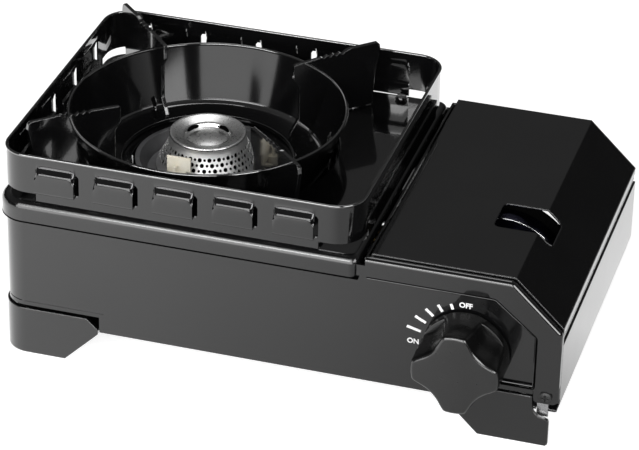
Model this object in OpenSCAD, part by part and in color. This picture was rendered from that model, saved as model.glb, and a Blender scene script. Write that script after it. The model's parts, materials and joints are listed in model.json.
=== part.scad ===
// Portable butane cassette stove: a wide, low sheet-steel body with the burner on the left inside a
// square windshield, and the gas cartridge bay on the right under a hinged lid. The knob on the
// front turns the gas valve and strikes the piezo igniter.
// +X is the stove's right, +Y its back, +Z up. The origin is on the table, under the box's centre.

/* [Overall] */
// Width, from the top plate's left skirt to the right side panel
total_w = 286; // [270:1:310]
// Depth, from the knob's face to the top plate's rear skirt
total_d = 193; // [185:1:210]
// Height of the pan supports' outer tips above the table
total_h = 122; // [118:0.5:130]

/* [Shell] */
// Thickness of the shell's, panels' and base's sheet steel
sheet_t = 1.2; // [0.8:0.1:1.5]
// Height of the shell's bottom edge above the table
shell_z0 = 18.6; // [16:0.2:19]
// Radius of the shell's two left corners, seen from above
shell_r = 12.5; // [9:0.5:20]
// How far the shell stands in from the top plate's skirt
shell_inset = 2.5; // [2.2:0.1:4]
// Height of the front panel's top edge over the cartridge bay
panel_h = 88; // [86:0.5:88.4]
// Width of the cartridge side, from the top plate's right edge to the stove's right side
bay_w = 100; // [99:0.5:104]
// How far the raised border stands out from the front panel
border_raise = 2.2; // [1:0.1:3]
// Width of the raised border
border_w = 10; // [7:0.5:12]
// Width of the front panel's sloped corner
slope_w = 25; // [20:0.5:28]
// Height of the front panel's sloped corner
slope_h = 24; // [20:0.5:27]
// Height of the bottom edge of the screw tab at the front panel's lower right
tab_z0 = 23.4; // [21:0.2:26]
// Height of the lower edge of the side panel
side_z0 = 24; // [21.5:0.5:27]

/* [Top plate] */
// Height of the top plate's flat surface
plate_z = 86.5; // [84:0.5:88]
// Height of the bottom edge of the top plate's skirt
skirt_z0 = 75.8; // [72:0.2:79]
// Radius of the top plate's corners, seen from above
plate_r = 15; // [12:0.5:22]
// Radius of the shoulder between the flat and the skirt
shoulder_r = 4.5; // [2:0.5:5.5]
// Radius of the hollow under the pan support, at the plate's surface
hollow_r = 66.5; // [65.6:0.1:68]
// Height of the hollow's floor
hollow_z = 76.8; // [75:0.2:77]

/* [Windshield] */
// How far the windshield wall stands in from the top plate's left and right edges
shield_in = 2; // [1.5:0.5:4]
// How far its front stands in from the top plate's front edge
shield_front_in = 3.5; // [2:0.5:5]
// How far its rear stands in from the top plate's rear edge
shield_back_in = 1.9; // [1.7:0.1:3]
// Thickness of the windshield wall
shield_t = 1; // [0.8:0.1:1.4]
// Height of the windshield's top edge
shield_z1 = 111.5; // [108:0.5:114]
// Radius of the windshield's corners
shield_r = 14; // [10:1:18]
// Width of one louver
louver_w = 22.4; // [16:0.2:25]
// Distance from a front corner of the wall to the nearest louver's centre
louver_end = 30.6; // [29:0.2:34]
// How far a front louver stands out from the wall
louver_out = 3.4; // [2:0.2:3.8]
// How far a louver of the other three walls stands out
side_louver_out = 1.9; // [1.6:0.1:2]
// Height of the low slot under each corner of the wall
relief_h = 4; // [2:0.5:6]
// How far that slot reaches along each wall from the corner
relief_l = 19.5; // [18:0.5:21]

/* [Pan support] */
// Distance from the stove's left side to the burner's centre
burner_in = 82; // [80:0.5:83]
// Outer radius of the inner bowl's rim
bowl_r = 70.4; // [70:0.1:71]
// Height of the inner bowl's rim
bowl_z1 = 107.7; // [105:0.1:110]
// Radius of the bowl's floor, where the wall meets it
floor_r = 59.5; // [58:0.1:60]
// Radius of the opening in the bowl's floor
opening_r = 43; // [41:0.5:45]
// Thickness of the bowl's sheet
bowl_t = 1; // [0.8:0.1:1.2]
// Thickness of one pan support blade
blade_t = 2; // [1.6:0.1:2.6]
// Radius at the blades' inner ends
blade_r0 = 48.3; // [47:0.1:50]
// Radius at the blades' outer ends
blade_r1 = 97.5; // [95:0.1:98]

/* [Burner] */
// Outer radius of the burner cap
cap_r = 19.5; // [18:0.1:21]
// Height of the burner cap's rim
cap_z = 94; // [92:0.2:96]
// Radius at the foot of the perforated skirt
skirt_r = 26; // [25:0.1:28]
// Radius of the steel ring around the burner
base_ring_r = 35.5; // [34:0.1:36.5]
// Holes in one row of the perforated skirt
row_holes = 36; // [24:2:44]
// Rows of holes in the perforated skirt
hole_rows = 3; // [1:1:3]
// Diameter of one hole of the perforated skirt
hole_d = 1.8; // [1.2:0.1:2]
// Outer radius of the mixing tube
tube_r = 8; // [6.5:0.5:9]
// Height of the mixing tube's axis
tube_z = 50; // [46:1:52]

/* [Lid] */
// Slot between the top plate and the lid's left edge
lid_slot = 5.2; // [4.8:0.1:6]
// Height of the lid's top surface
lid_z = 89.2; // [89:0.1:91]
// Thickness of the lid's sheet
lid_t = 0.8; // [0.5:0.1:0.8]
// Length of the window slot, along Y
window_l = 23; // [14:0.5:26]
// Width of the window slot, which runs down onto the lid's slope
window_w = 29; // [24:0.5:32]
// Distance from the window slot's right end to the stove's right side
window_in = 17.5; // [16:0.5:22]
// Distance from the front panel to the window slot's centre
window_back = 56.8; // [48:0.2:60]

/* [Hinge] */
// Radius of the hinge pin
pin_r = 1.2; // [1:0.05:1.3]
// Outer radius of the hinge knuckles
knuckle_r = 2.2; // [2.1:0.05:2.3]
// Radial clearance of a turning pin or shaft in its hole
turn_gap = 0.05; // [0.02:0.01:0.09]
// Height of the hinge axis
hinge_z = 60.3; // [59.5:0.1:61]

/* [Gas cartridge bay] */
// Radius of the cartridge that the bay takes
cartridge_r = 33.5; // [32.5:0.1:33.7]
// Distance from the cartridge's axis to the stove's right side
bay_in = 44; // [42:0.5:46]
// Outer radius of the bright seat ring
seat_r = 30.5; // [28:0.5:31.5]
// Distance from the front panel to the face that the cartridge's collar meets
seat_back = 63; // [61:0.5:65]
// How far the seat ring's bright collar reaches back round the cartridge's shoulder
collar_l = 10; // [7:0.5:11]

/* [Knob] */
// Distance from the knob's axis to the stove's right side
knob_in = 46.2; // [44.5:0.2:48]
// Height of the knob's axis
knob_z = 46.2; // [45:0.2:47.4]
// How far the knob's face stands out from the front panel
knob_out = 25; // [22:0.5:28]
// Radius over the knob's lobes
knob_r = 21.4; // [19:0.1:23]
// Radius of the finger scoops between the lobes
scoop_r = 21; // [18:0.5:24]
// Radius of the knob's shaft
shaft_r = 3; // [2.5:0.1:3.5]
// Travel of the igniter's plunger
plunger_travel = 3; // [2:0.25:3.5]

/* [Feet] */
// Height of the feet's visible walls
foot_h = 25.6; // [25:0.1:26]
// Thickness of the feet's walls
foot_t = 2; // [1.6:0.1:2]
// Length of a corner foot along the stove's side
foot_l = 48; // [38:1:54]

/* [Part] */

/* [Hidden] */
$fn = 64;

enamel = [0.05, 0.05, 0.055];
dark_plastic = [0.16, 0.16, 0.16];
steel = [0.72, 0.72, 0.74];
chrome = [0.85, 0.85, 0.87];
aluminium = [0.75, 0.76, 0.78];
brass = [0.78, 0.62, 0.3];
cream = [0.96, 0.92, 0.84];
black = [0.03, 0.03, 0.03];

gap = 0.1; // between fixed pieces that lie against each other
free = 0.4; // between pieces that move past each other
plate_over = sheet_t + 0.3; // overhang of the top plate past the shell, front and back

x0 = -total_w / 2;
x1 = total_w / 2;
y1 = total_d / 2;
front_y = -total_d / 2 + knob_out;
back_y = y1 - plate_over;
plate_x1 = x1 - bay_w;
plate_y0 = front_y - plate_over;
shell_x0 = x0 + shell_inset;
in_x0 = shell_x0 + sheet_t;
in_y0 = front_y + sheet_t;
in_y1 = back_y - sheet_t;
shell_top = plate_z - shoulder_r + 0.8;
slope_x = x1 - slope_w;
slope_z = panel_h - slope_h;
tab_w = 12.7;
tab_x = x1 - 6.6;
tab_z = 27.4;
border_z0 = 31.2;

base_z0 = shell_z0 + 0.2;
base_z = base_z0 + sheet_t;
cradle_t = 0.8;
cradle_r = cartridge_r + 0.4;
bay_z = base_z + cradle_t + cradle_r;
panel_x0 = plate_x1 + 3.1;
part_x = panel_x0 - 1.1;
bay_x = x1 - bay_in;
knob_x = x1 - knob_in;
seat_y = front_y + seat_back;

shield_x0 = x0 + shield_in;
shield_x1 = plate_x1 - shield_in;
shield_y0 = plate_y0 + shield_front_in;
shield_y1 = y1 - shield_back_in;
burner_x = x0 + burner_in;
burner_y = (shield_y0 + shield_y1) / 2;

hinge_x = x1 - 2.5;
side_z1 = hinge_z - 3.4;
lid_x0 = plate_x1 + lid_slot;
lid_y0 = in_y0 + 0.3;
lid_y1 = in_y1 - 0.5;
lid_x1 = x1 - 0.1;
lid_slope_x = lid_x1 - slope_w + 0.6;
lid_slope_z = lid_z - slope_h + 0.5;
lid_skirt_z = hinge_z + 2;
knuckles = 5;
knuckle_l = (lid_y1 - lid_y0 - 2) / knuckles;
window_x1 = x1 - window_in;
window_x0 = window_x1 - window_w;
window_y = front_y + window_back;

bowl_slope = (bowl_r - floor_r) / (bowl_z1 - (hollow_z + free));
bowl_floor_z = hollow_z + free;
tip_in_z = total_h - 2.4;
flank_z = plate_z + 1;

cam_r = 8;
cam_turn = 90;
plunger_x = knob_x + cam_r + 1;

// ---- shared shapes ----

// Rectangle with its left corners rounded by ra and its right corners by rb.
module plan(xa, ya, xb, yb, ra, rb) {
    translate([xa + ra, ya]) square([xb - xa - ra - rb, yb - ya]);
    translate([xa, ya + ra]) square([xb - xa - rb, yb - ya - 2 * ra]);
    translate([xa + ra, ya + rb]) square([xb - xa - ra, yb - ya - 2 * rb]);
    for (y = [ya + ra, yb - ra]) translate([xa + ra, y]) circle(r = ra);
    for (y = [ya + rb, yb - rb]) translate([xb - rb, y]) circle(r = rb);
}

// Sweeps a 2D profile (x outwards from the outline, y up) round a rectangle with its left corners
// rounded by ra and its right corners by rb.
module swept(xa, ya, xb, yb, ra, rb) {
    for (c = [[xb - rb, yb - rb, 0, rb], [xa + ra, yb - ra, 90, ra], [xa + ra, ya + ra, 180, ra], [xb - rb, ya + rb, 270, rb]])
        translate([c[0], c[1], 0]) rotate([0, 0, c[2]])
            rotate_extrude(angle = 90) translate([c[3], 0]) children();
    translate([xb, ya + rb, 0]) rotate([90, 0, 180]) mirror([1, 0, 0])
        linear_extrude(yb - ya - 2 * rb) children();
    translate([xa, yb - ra, 0]) rotate([90, 0, 0]) mirror([1, 0, 0])
        linear_extrude(yb - ya - 2 * ra) children();
    translate([xb - rb, yb, 0]) rotate([90, 0, -90]) mirror([1, 0, 0])
        linear_extrude(xb - xa - ra - rb) children();
    translate([xa + ra, ya, 0]) rotate([90, 0, 90]) mirror([1, 0, 0])
        linear_extrude(xb - xa - ra - rb) children();
}

// What lies between a corner at [x, y] and the arc of radius r that rounds it; sx and sy point
// from the corner to the arc's centre.
module spandrel(x, y, r, sx, sy) {
    translate([x, y]) difference() {
        polygon([[-0.01 * sx, -0.01 * sy], [r * sx, -0.01 * sy], [r * sx, r * sy], [-0.01 * sx, r * sy]]);
        translate([r * sx, r * sy]) circle(r = r);
    }
}

// Extrudes an XZ outline along Y, from ya to yb.
module along_y(ya, yb) {
    translate([0, yb, 0]) rotate([90, 0, 0]) linear_extrude(yb - ya) children();
}

// Cylinder whose axis runs along Y, from ya to yb.
module rod_y(x, z, ya, yb, r) {
    translate([x, yb, z]) rotate([90, 0, 0]) cylinder(r = r, h = yb - ya);
}

// Cylinder whose axis runs along X, from xa to xb.
module rod_x(xa, xb, y, z, r) {
    translate([xa, y, z]) rotate([0, 90, 0]) cylinder(r = r, h = xb - xa);
}

// Solid of revolution about the burner's vertical axis.
module round_burner() {
    translate([burner_x, burner_y, 0]) rotate_extrude() children();
}

// ---- shell and panels ----

// Outline of the front panel's part over the cartridge bay, inset by d and starting at xa.
function bay_outline(d, xa) = [
    [xa, panel_h - d],
    [slope_x - d * 0.42, panel_h - d],
    [x1 - d, slope_z - d * 0.42]
];

// Edge of the ledge that the closed lid lies over, inset by d.
function ledge(d) = [
    [lid_x0 + lid_t + free, panel_h - d],
    [slope_x - d * 0.42, panel_h - d],
    [x1 - 4, slope_z + 4 * slope_h / slope_w - d * 1.39]
];

module foot_notch_front(xa, xb, z) {
    translate([xa, front_y - 5, shell_z0 - 1]) cube([xb - xa, 10, z - shell_z0 + 1]);
}

module body_shell() {
    color(enamel) difference() {
        union() {
            difference() {
                translate([0, 0, shell_z0]) linear_extrude(panel_h - shell_z0)
                    plan(shell_x0, front_y, x1, back_y, shell_r, 1);
                translate([0, 0, shell_z0 - 1]) linear_extrude(panel_h - shell_z0 + 2)
                    plan(in_x0, in_y0, x1 + 20, in_y1, shell_r - sheet_t, 1);
                translate([part_x, in_y1 - 1, 0]) cube([x1 - part_x + 1, 10, panel_h + 1]);
                translate([x0 - 1, front_y - 1, shell_top]) cube([panel_x0 - x0 + 1, total_d, 20]);
            }
            along_y(front_y - border_raise, in_y0) difference() {
                union() {
                    polygon(concat(
                        bay_outline(0, panel_x0),
                        [[x1, border_z0], [x1 - tab_w, border_z0], [x1 - tab_w, 29], [x1 - 30, 29], [x1 - 30, 31.8]],
                        [[x1 - border_w - 2, 31.8], [x1 - border_w - 2, slope_z - 3.5]],
                        [[slope_x - 8, panel_h - border_w], [panel_x0, panel_h - border_w]]
                    ));
                    spandrel(x1 - border_w - 2, 31.8, 3, -1, 1);
                }
                spandrel(x1, border_z0, 4, -1, 1);
            }
            along_y(front_y, in_y0 + 8) polygon(concat(
                ledge(0),
                [for (k = [2, 1, 0]) ledge(sheet_t)[k]]
            ));
        }
        along_y(front_y - 5, front_y + 5) polygon([
            [slope_x, panel_h], [x1, slope_z], [x1 + 5, slope_z], [x1 + 5, panel_h + 5], [slope_x, panel_h + 5]
        ]);
        foot_notch_front(x0 - 1, foot_x1 + 0.8, 27.2);
        translate([x0 - 1, front_y - 1, shell_z0 - 1]) cube([14, foot_l + 3, 27.2 - shell_z0 + 1]);
        translate([x0 - 1, back_y - foot_l - 2, shell_z0 - 1]) cube([14, foot_l + 3, 27.2 - shell_z0 + 1]);
        translate([x0 - 1, back_y - 5, shell_z0 - 1]) cube([foot_x1 + 0.8 - x0 + 1, 10, 27.2 - shell_z0 + 1]);
        foot_notch_front(x1 - 60, x1 - tab_w, 29);
        foot_notch_front(x1 - tab_w - 0.3, x1 + 1, tab_z0);
        along_y(front_y - 1, in_y0 + 0.1) spandrel(x1, tab_z0, 4, -1, 1);
        along_y(front_y - 1, in_y0 + 0.1) spandrel(x1 - tab_w, tab_z0, 2, 1, 1);
        // pressed line over the front left foot
        intersection() {
            translate([0, 0, 29.2]) linear_extrude(0.5) difference() {
                plan(shell_x0 - 1, front_y - 1, x1, back_y, shell_r + 1, 1);
                plan(shell_x0 + 0.4, front_y + 0.4, x1, back_y, shell_r - 0.4, 1);
            }
            translate([x0, front_y - 2, 29]) cube([foot_x1 + 3.2 - x0, 30, 1]);
        }
        rod_y(tab_x, tab_z, front_y - 5, front_y, 4.2);
        rod_y(tab_x, tab_z, front_y - 5, front_y + 5, 1.5 + gap);
        rod_y(knob_x, knob_z, front_y - 1, front_y + 5, shaft_r + 1.2);
    }
}

module side_panel() {
    color(enamel) difference() {
        union() {
            translate([x1 - sheet_t, in_y0 + gap, side_z0]) cube([sheet_t, back_y - in_y0 - gap, side_z1 - side_z0]);
            translate([x1 - 12, in_y0 + gap, side_z0]) cube([12, sheet_t, hinge_z - 7 - side_z0]);
            for (k = [0, 2, 4]) hinge_leaf(k);
        }
        for (k = [0, 2, 4]) rod_y(hinge_x, hinge_z, knuckle_y(k) - 1, knuckle_y(k) + knuckle_l + 1, pin_r - 0.02);
        rod_y(tab_x, tab_z, in_y0 - 1, in_y0 + 3, 1.5);
    }
}

bracket_w = 5.6;
bracket_x = tab_x - 4.6;

// Plain steel strip behind the tab, which shows between the tab and the front right foot.
module corner_bracket() {
    y = in_y0 + sheet_t + 2 * gap;
    color(steel) difference() {
        union() {
            translate([bracket_x, y, 14.6]) cube([bracket_w, sheet_t, tab_z + 6 - 14.6]);
            translate([bracket_x, y, base_z + gap]) cube([bracket_w, 9, sheet_t]);
        }
        rod_y(tab_x, tab_z, y - 1, y + 3, 1.5);
    }
}

function knuckle_y(k) = lid_y0 + 1 + k * knuckle_l;

// One knuckle of the side panel, with the strip that joins it to the panel.
module hinge_leaf(k) {
    rod_y(hinge_x, hinge_z, knuckle_y(k), knuckle_y(k) + knuckle_l - free, knuckle_r);
    translate([hinge_x - 1, knuckle_y(k), hinge_z - 6]) cube([x1 - sheet_t - hinge_x + 1.2, knuckle_l - free, 6]);
}

module rear_panel() {
    color(enamel) difference() {
        along_y(in_y1, back_y) polygon([
            [part_x + gap, base_z + gap], [x1 - sheet_t - gap, base_z + gap], [x1 - sheet_t - gap, hinge_z - 7],
            [bay_x + cradle_r + 1.5, hinge_z - 7], [bay_x + cradle_r + 1.5, bay_z], [bay_x - cradle_r - 1.5, bay_z],
            [bay_x - cradle_r - 1.5, panel_h - 2], [part_x + gap, panel_h - 2]
        ]);
        rod_y(bay_x, bay_z, in_y1 - 1, back_y + 1, cradle_r + 0.6);
        for (z = [40, 70]) rod_y(part_x + 5, z, in_y1 - 1, back_y + 1, 1.5 + gap);
    }
}

module base_plate() {
    color(enamel) difference() {
        union() {
            translate([0, 0, base_z0]) linear_extrude(sheet_t)
                plan(in_x0 + foot_t + 0.3, in_y0 + gap, x1 - sheet_t - gap, in_y1 - gap, shell_r - sheet_t - 2.4, 1);
            translate([in_x0 + gap, front_y + foot_l + 4, base_z0]) cube([6, shell_len() - 2 * foot_l - 8, sheet_t]);
            translate([x1 - 2 * sheet_t - gap, in_y0 + 6, base_z0]) cube([sheet_t, back_y - in_y0 - 12, 16]);
        }
        for (x = [x0 + 27 : 16 : plate_x1 - 20]) for (y = [front_y + 26.5, back_y - 45])
            translate([x, y, base_z0 - 1]) cube([4, 26, 4]);
        for (p = foot_bolts()) translate([p[0], p[1], base_z0 - 1]) cylinder(r = 2 + gap, h = 4);
        for (s = [-1, 1]) translate([burner_x + bolt_in * s, burner_y, base_z0 - 1]) cylinder(r = 1.5 + gap, h = 4);
        translate([bracket_x - gap, in_y0, base_z0 - 1]) cube([bracket_w + 2 * gap, 2 * sheet_t + 3 * gap, 4]);
    }
}

function shell_len() = back_y - front_y;

module partition() {
    color(enamel) difference() {
        union() {
            translate([part_x, in_y0 + gap, base_z + gap]) cube([sheet_t, in_y1 - in_y0 - 2 * gap, panel_h - 1.6 - base_z]);
            translate([part_x - 7, in_y0 + gap, base_z + gap]) cube([8, in_y1 - in_y0 - 2 * gap, sheet_t]);
            translate([part_x, in_y1 - sheet_t - gap, base_z + gap]) cube([10, sheet_t, 62]);
        }
        rod_x(part_x - 1, part_x + 3, pipe_y, tube_z, pipe_r + 1.5);
        rod_x(part_x - 9, part_x + 3, lead_y, lead_z, lead_r + 0.6);
        for (k = [1 : 5]) translate([part_x - 1, in_y1 - 4 - 14 * k, 34]) cube([4, 5, 34]);
        for (z = [40, 70]) rod_y(part_x + 5, z, in_y1 - 5, in_y1 + 1, 1.5);
    }
}

// ---- top plate and windshield ----

module top_plate() {
    y0 = plate_y0;
    r = shoulder_r;
    rb = r + 0.7;
    color(enamel) difference() {
        union() {
            translate([0, 0, plate_z - sheet_t]) linear_extrude(sheet_t) difference() {
                plan(x0 + r, y0 + r, plate_x1 - r, y1 - r, plate_r - r, rb - r);
                translate([burner_x, burner_y]) circle(r = hollow_r + 1);
            }
            swept(x0, y0, plate_x1, y1, plate_r, rb) polygon(concat(
                [[-r - 0.5, plate_z - sheet_t], [-r - 0.5, plate_z]],
                [for (a = [90 : -15 : 0]) [-r + r * cos(a), plate_z - r + r * sin(a)]],
                [[0, skirt_z0], [-sheet_t, skirt_z0]],
                [for (a = [0 : 15 : 90]) [-r + (r - sheet_t) * cos(a), plate_z - r + (r - sheet_t) * sin(a)]]
            ));
            round_burner() polygon([
                [hollow_r + 2, plate_z - sheet_t], [hollow_r + 2, plate_z], [hollow_r, plate_z],
                [floor_r + 2.6, hollow_z], [38.8, hollow_z], [38.8, 70], [40, 70],
                [40, hollow_z - sheet_t], [floor_r + 3.4, hollow_z - sheet_t], [hollow_r + 0.4, plate_z - sheet_t]
            ]);
        }
        for (p = shield_bolts()) translate([p[0], p[1], plate_z - 5]) cylinder(r = 1.5 + gap, h = 9);
        translate([plate_x1 - r - 1, front_y - 0.1, skirt_z0 - 1]) cube([r + 3, shell_len() + 0.2, shell_top + 0.3 - skirt_z0 + 1]);
    }
}

function shield_bolts() = [
    for (x = [shield_x0 + 30, shield_x1 - 22]) for (y = [shield_y0 + 6, shield_y1 - 6]) [x, y]
];

// One pressed-out bridge louver, open at both ends, centred on x = 0 with the wall's outer face at
// y = 0. Its top swells out of the wall, steps out and rounds over into the flat face.
module louver(out) {
    t = min(1, out - 0.9);
    translate([-louver_w / 2, 0, plate_z]) rotate([90, 0, 90]) linear_extrude(louver_w) polygon([
        [0.5, 22.6], [0, 22.6], [-out * 0.1, 21.2], [-out * 0.32, 19.4], [-out * 0.7, 17.6],
        [-out * 0.92, 16.4], [-out, 14.9], [-out, 7.2], [-out * 0.92, 6.3], [-out * 0.7, 5.8],
        [0.5, 5.8], [0.5, 7], [-out + t, 7.6], [-out + t, 14.6], [-out * 0.7 + t * 0.8, 16.2],
        [-out * 0.32 + t * 0.8, 18], [0.5, 19.8]
    ]);
}

// The opening behind one louver.
module louver_cut() {
    translate([-louver_w / 2, -0.01, plate_z + 7.4]) cube([louver_w, shield_t + 3, 12.6]);
}

// Places a louver, or its opening, in all four walls.
module louvers(cut) {
    cx = (shield_x0 + shield_x1) / 2;
    pitch = (shield_x1 - shield_x0 - 2 * louver_end) / 4;
    side_pitch = min(pitch, (shield_y1 - shield_y0 - 2 * louver_end) / 3);
    places = concat(
        [for (k = [-2 : 2]) [cx + k * pitch, shield_y0, 0]],
        [for (k = [-2 : 2]) [cx + k * pitch, shield_y1, 180]],
        [for (k = [-1.5 : 1.5]) [shield_x0, burner_y + k * side_pitch, -90]],
        [for (k = [-1.5 : 1.5]) [shield_x1, burner_y + k * side_pitch, 90]]
    );
    for (p = places) translate([p[0], p[1], 0]) rotate([0, 0, p[2]]) {
        if (cut) louver_cut();
        else louver(p[2] == 0 ? louver_out : side_louver_out);
    }
}

module windshield() {
    c = relief_l;
    color(enamel) union() {
        difference() {
            union() {
                swept(shield_x0, shield_y0, shield_x1, shield_y1, shield_r, shield_r) polygon([
                    [-shield_t, plate_z], [0, plate_z], [0, shield_z1 - 2.2], [0.6, shield_z1 - 1.6],
                    [0.6, shield_z1 - 0.6], [0, shield_z1], [-shield_t, shield_z1], [-shield_t - 0.5, shield_z1 - 0.6],
                    [-shield_t, shield_z1 - 1.4]
                ]);
                for (p = shield_bolts()) shield_tab(p);
            }
            louvers(true);
            for (x = [shield_x0 - 2, shield_x1 - c]) for (y = [shield_y0 - 2, shield_y1 - c])
                translate([x, y, plate_z - 1]) cube([c + 2, c + 2, relief_h + 1]);
        }
        louvers(false);
    }
}

// A foot tab of the windshield, lying on the top plate inside the wall.
module shield_tab(p) {
    y = p[1] < 0 ? shield_y0 + 0.5 : p[1] - 5;
    difference() {
        translate([p[0] - 5, y, plate_z]) cube([10, 10.5, 1]);
        translate([p[0], p[1], plate_z - 1]) cylinder(r = 1.5 + gap, h = 4);
    }
}

module windshield_rivets() {
    color(steel) for (p = shield_bolts()) translate([p[0], p[1], 0]) rotate_extrude() polygon([
        [0, plate_z - 3], [1.5, plate_z - 3], [1.5, plate_z + 1], [3.2, plate_z + 1], [2.6, plate_z + 2.1],
        [0, plate_z + 2.4]
    ]);
}

// ---- pan support: bowl and four blades, lifting off together ----

function bowl_at(z) = floor_r + (z - bowl_floor_z) * bowl_slope;

module pan_bowl() {
    z = bowl_floor_z;
    color(enamel) difference() {
        round_burner() polygon([
            [opening_r, z], [floor_r, z], [bowl_at(bowl_z1 - 1.2), bowl_z1 - 1.2], [bowl_r + 0.5, bowl_z1 - 0.7],
            [bowl_r + 0.3, bowl_z1], [bowl_r - bowl_t, bowl_z1], [bowl_r - bowl_t - 0.5, bowl_z1 - 0.8],
            [bowl_at(bowl_z1 - 2) - bowl_t, bowl_z1 - 2], [floor_r - 0.8, z + bowl_t], [opening_r + 1, z + bowl_t],
            [opening_r + 1, z + 2.4], [opening_r, z + 2.4]
        ]);
        at_blades() translate([56, -blade_t / 2 - gap, z + 6]) cube([20, blade_t + 2 * gap, bowl_z1 - z]);
    }
}

module at_blades() {
    for (a = [45 : 90 : 315]) translate([burner_x, burner_y, 0]) rotate([0, 0, a]) children();
}

// One blade: a serrated top inside the windshield, a foot in the bowl and an outer leg over the plate.
module blade(a) {
    z = bowl_floor_z + bowl_t;
    r = blade_r0;
    teeth = [for (k = [0 : 3]) each [[r + 17 + k * 3.6, tip_in_z + 0.2], [r + 18.8 + k * 3.6, tip_in_z + 1.6]]];
    translate([burner_x, burner_y, 0]) rotate([0, 0, a]) rotate([90, 0, 0])
        translate([0, 0, -blade_t / 2]) linear_extrude(blade_t) polygon(concat(
            [[r, tip_in_z - 8], [r, tip_in_z - 0.6], [r + 0.8, tip_in_z]],
            [[r + 15.6, tip_in_z + 0.9]],
            teeth,
            [[blade_r1 - 17, total_h], [blade_r1 - 1.2, total_h], [blade_r1, total_h - 1.2]],
            [[blade_r1 + 0.5, total_h - 4], [blade_r1 - 2.2, 104], [blade_r1 - 3.4, flank_z]],
            [[bowl_at(flank_z) + 9, flank_z], [bowl_at(flank_z) + 5, flank_z + 6], [bowl_at(z + 6.2) + 0.6, z + 6.2]],
            [[floor_r - 2, z + 6.2], [floor_r - 2, z + gap], [r - 1, z + gap]],
            [[r - 2, z + 2], [r, z + 5.5], [r + 3.2, z + 10], [r + 3.2, tip_in_z - 13]]
        ));
}

module pan_support_back_right() {
    color(enamel) blade(45);
}

module pan_support_back_left() {
    color(enamel) blade(135);
}

module pan_support_front_left() {
    color(enamel) blade(225);
}

module pan_support_front_right() {
    color(enamel) blade(315);
}

// ---- burner ----

base_floor_z = 71.5;
bolt_in = 21;
nozzle_x = plate_x1 - 16;
pipe_x = nozzle_x + 7;
flare_x = nozzle_x - 9;

module burner_base() {
    r = base_ring_r;
    z = base_floor_z;
    color(steel) difference() {
        round_burner() polygon([
            [12, z], [r - 4.5, z], [r - 0.6, hollow_z + 1.2], [r + 1.2, hollow_z + 1.2], [r + 1.2, hollow_z + 2],
            [r - 1.2, hollow_z + 2], [r - 5, z + 0.9], [12, z + 0.9]
        ]);
        for (s = [-1, 1]) translate([burner_x + bolt_in * s, burner_y, z - 1]) cylinder(r = 1.5 + gap, h = 4);
        translate([spark_x, spark_y, z - 1]) cylinder(r = 2.6, h = 20);
    }
}

module burner_skirt() {
    z0 = base_floor_z + 0.9;
    zt = cap_z - 1.6;
    zf = hollow_z + 2.4;
    rn = cap_r - 1.2;
    color(chrome) difference() {
        round_burner() polygon([
            [skirt_r, z0], [skirt_r, zf], [rn + 0.9, zt - 3.2], [rn + 0.5, zt - 2], [rn + 0.9, zt],
            [rn + 0.1, zt], [rn - 0.4, zt - 2], [rn, zt - 3.4], [skirt_r - 0.9, zf - 0.3], [skirt_r - 0.9, z0]
        ]);
        for (j = [0 : hole_rows - 1]) for (k = [0 : row_holes - 1])
            translate([burner_x, burner_y, zf + 1.4 + j * 2.9])
                rotate([0, 0, (k + j / 2) * 360 / row_holes])
                    translate([skirt_r - 1.6 - j * 2.9, 0, 0]) rotate([0, 45, 0]) cylinder(r = hole_d / 2, h = 7, center = true, $fn = 16);
    }
}

module burner_cap() {
    z = cap_z;
    r = cap_r;
    color(chrome) difference() {
        round_burner() polygon([
            [0, z - 4.4], [r * 0.5, z - 4.6], [r * 0.64, z - 1.6], [r - 0.7, z - 1.6], [r, z - 1.2], [r, z - 0.6],
            [r - 1, z], [r - 3, z + 0.2], [r * 0.65, z - 0.8], [r * 0.52, z - 3.7], [r * 0.3, z - 3.6], [0, z - 3.2]
        ]);
        for (a = [90, 210, 330]) translate([burner_x, burner_y, z - 6]) rotate([0, 0, a]) linear_extrude(8)
            intersection() {
                difference() {
                    circle(r = r * 0.63);
                    circle(r = r * 0.535);
                }
                polygon([[0, 0], [20, -14], [20, 14]]);
            }
    }
}

module burner_head() {
    z = base_floor_z + 0.9;
    color(steel) round_burner() polygon([
        [0, z + 10], [0, z + 14], [9, z + 14], [15, z + 12], [15, z + 10.8], [16.4, z + 10.8], [16.4, z],
        [11, z], [11, z - 9], [tube_r + 0.2, z - 9], [tube_r + 0.2, z + 2], [14, z + 4], [14, z + 9], [8, z + 10]
    ]);
}

// Tube from the nozzle to the burner head: a flared mouth, a straight run and a bend upwards.
module mixing_tube() {
    bend = tube_r + 4;
    z = base_floor_z - 8;
    color(steel) difference() {
        union() {
            rod_x(burner_x + bend, flare_x, burner_y, tube_z, tube_r);
            translate([flare_x, burner_y, tube_z]) rotate([0, 90, 0]) cylinder(r1 = tube_r, r2 = tube_r + 3, h = 8);
            translate([burner_x + bend, burner_y, tube_z + bend]) rotate([90, 0, 0]) rotate([0, 0, 180])
                rotate_extrude(angle = 90) translate([bend, 0]) circle(r = tube_r);
            translate([burner_x, burner_y, tube_z + bend]) cylinder(r = tube_r, h = z - tube_z - bend + 8);
        }
        rod_x(burner_x + bend, flare_x + 0.01, burner_y, tube_z, tube_r - 1);
        translate([flare_x, burner_y, tube_z]) rotate([0, 90, 0]) cylinder(r1 = tube_r - 1, r2 = tube_r + 2.1, h = 8.1);
        translate([burner_x + bend, burner_y, tube_z + bend]) rotate([90, 0, 0]) rotate([0, 0, 180])
            rotate_extrude(angle = 90) translate([bend, 0]) circle(r = tube_r - 1);
        translate([burner_x, burner_y, tube_z + bend]) cylinder(r = tube_r - 1, h = z - tube_z - bend + 9);
    }
}

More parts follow.
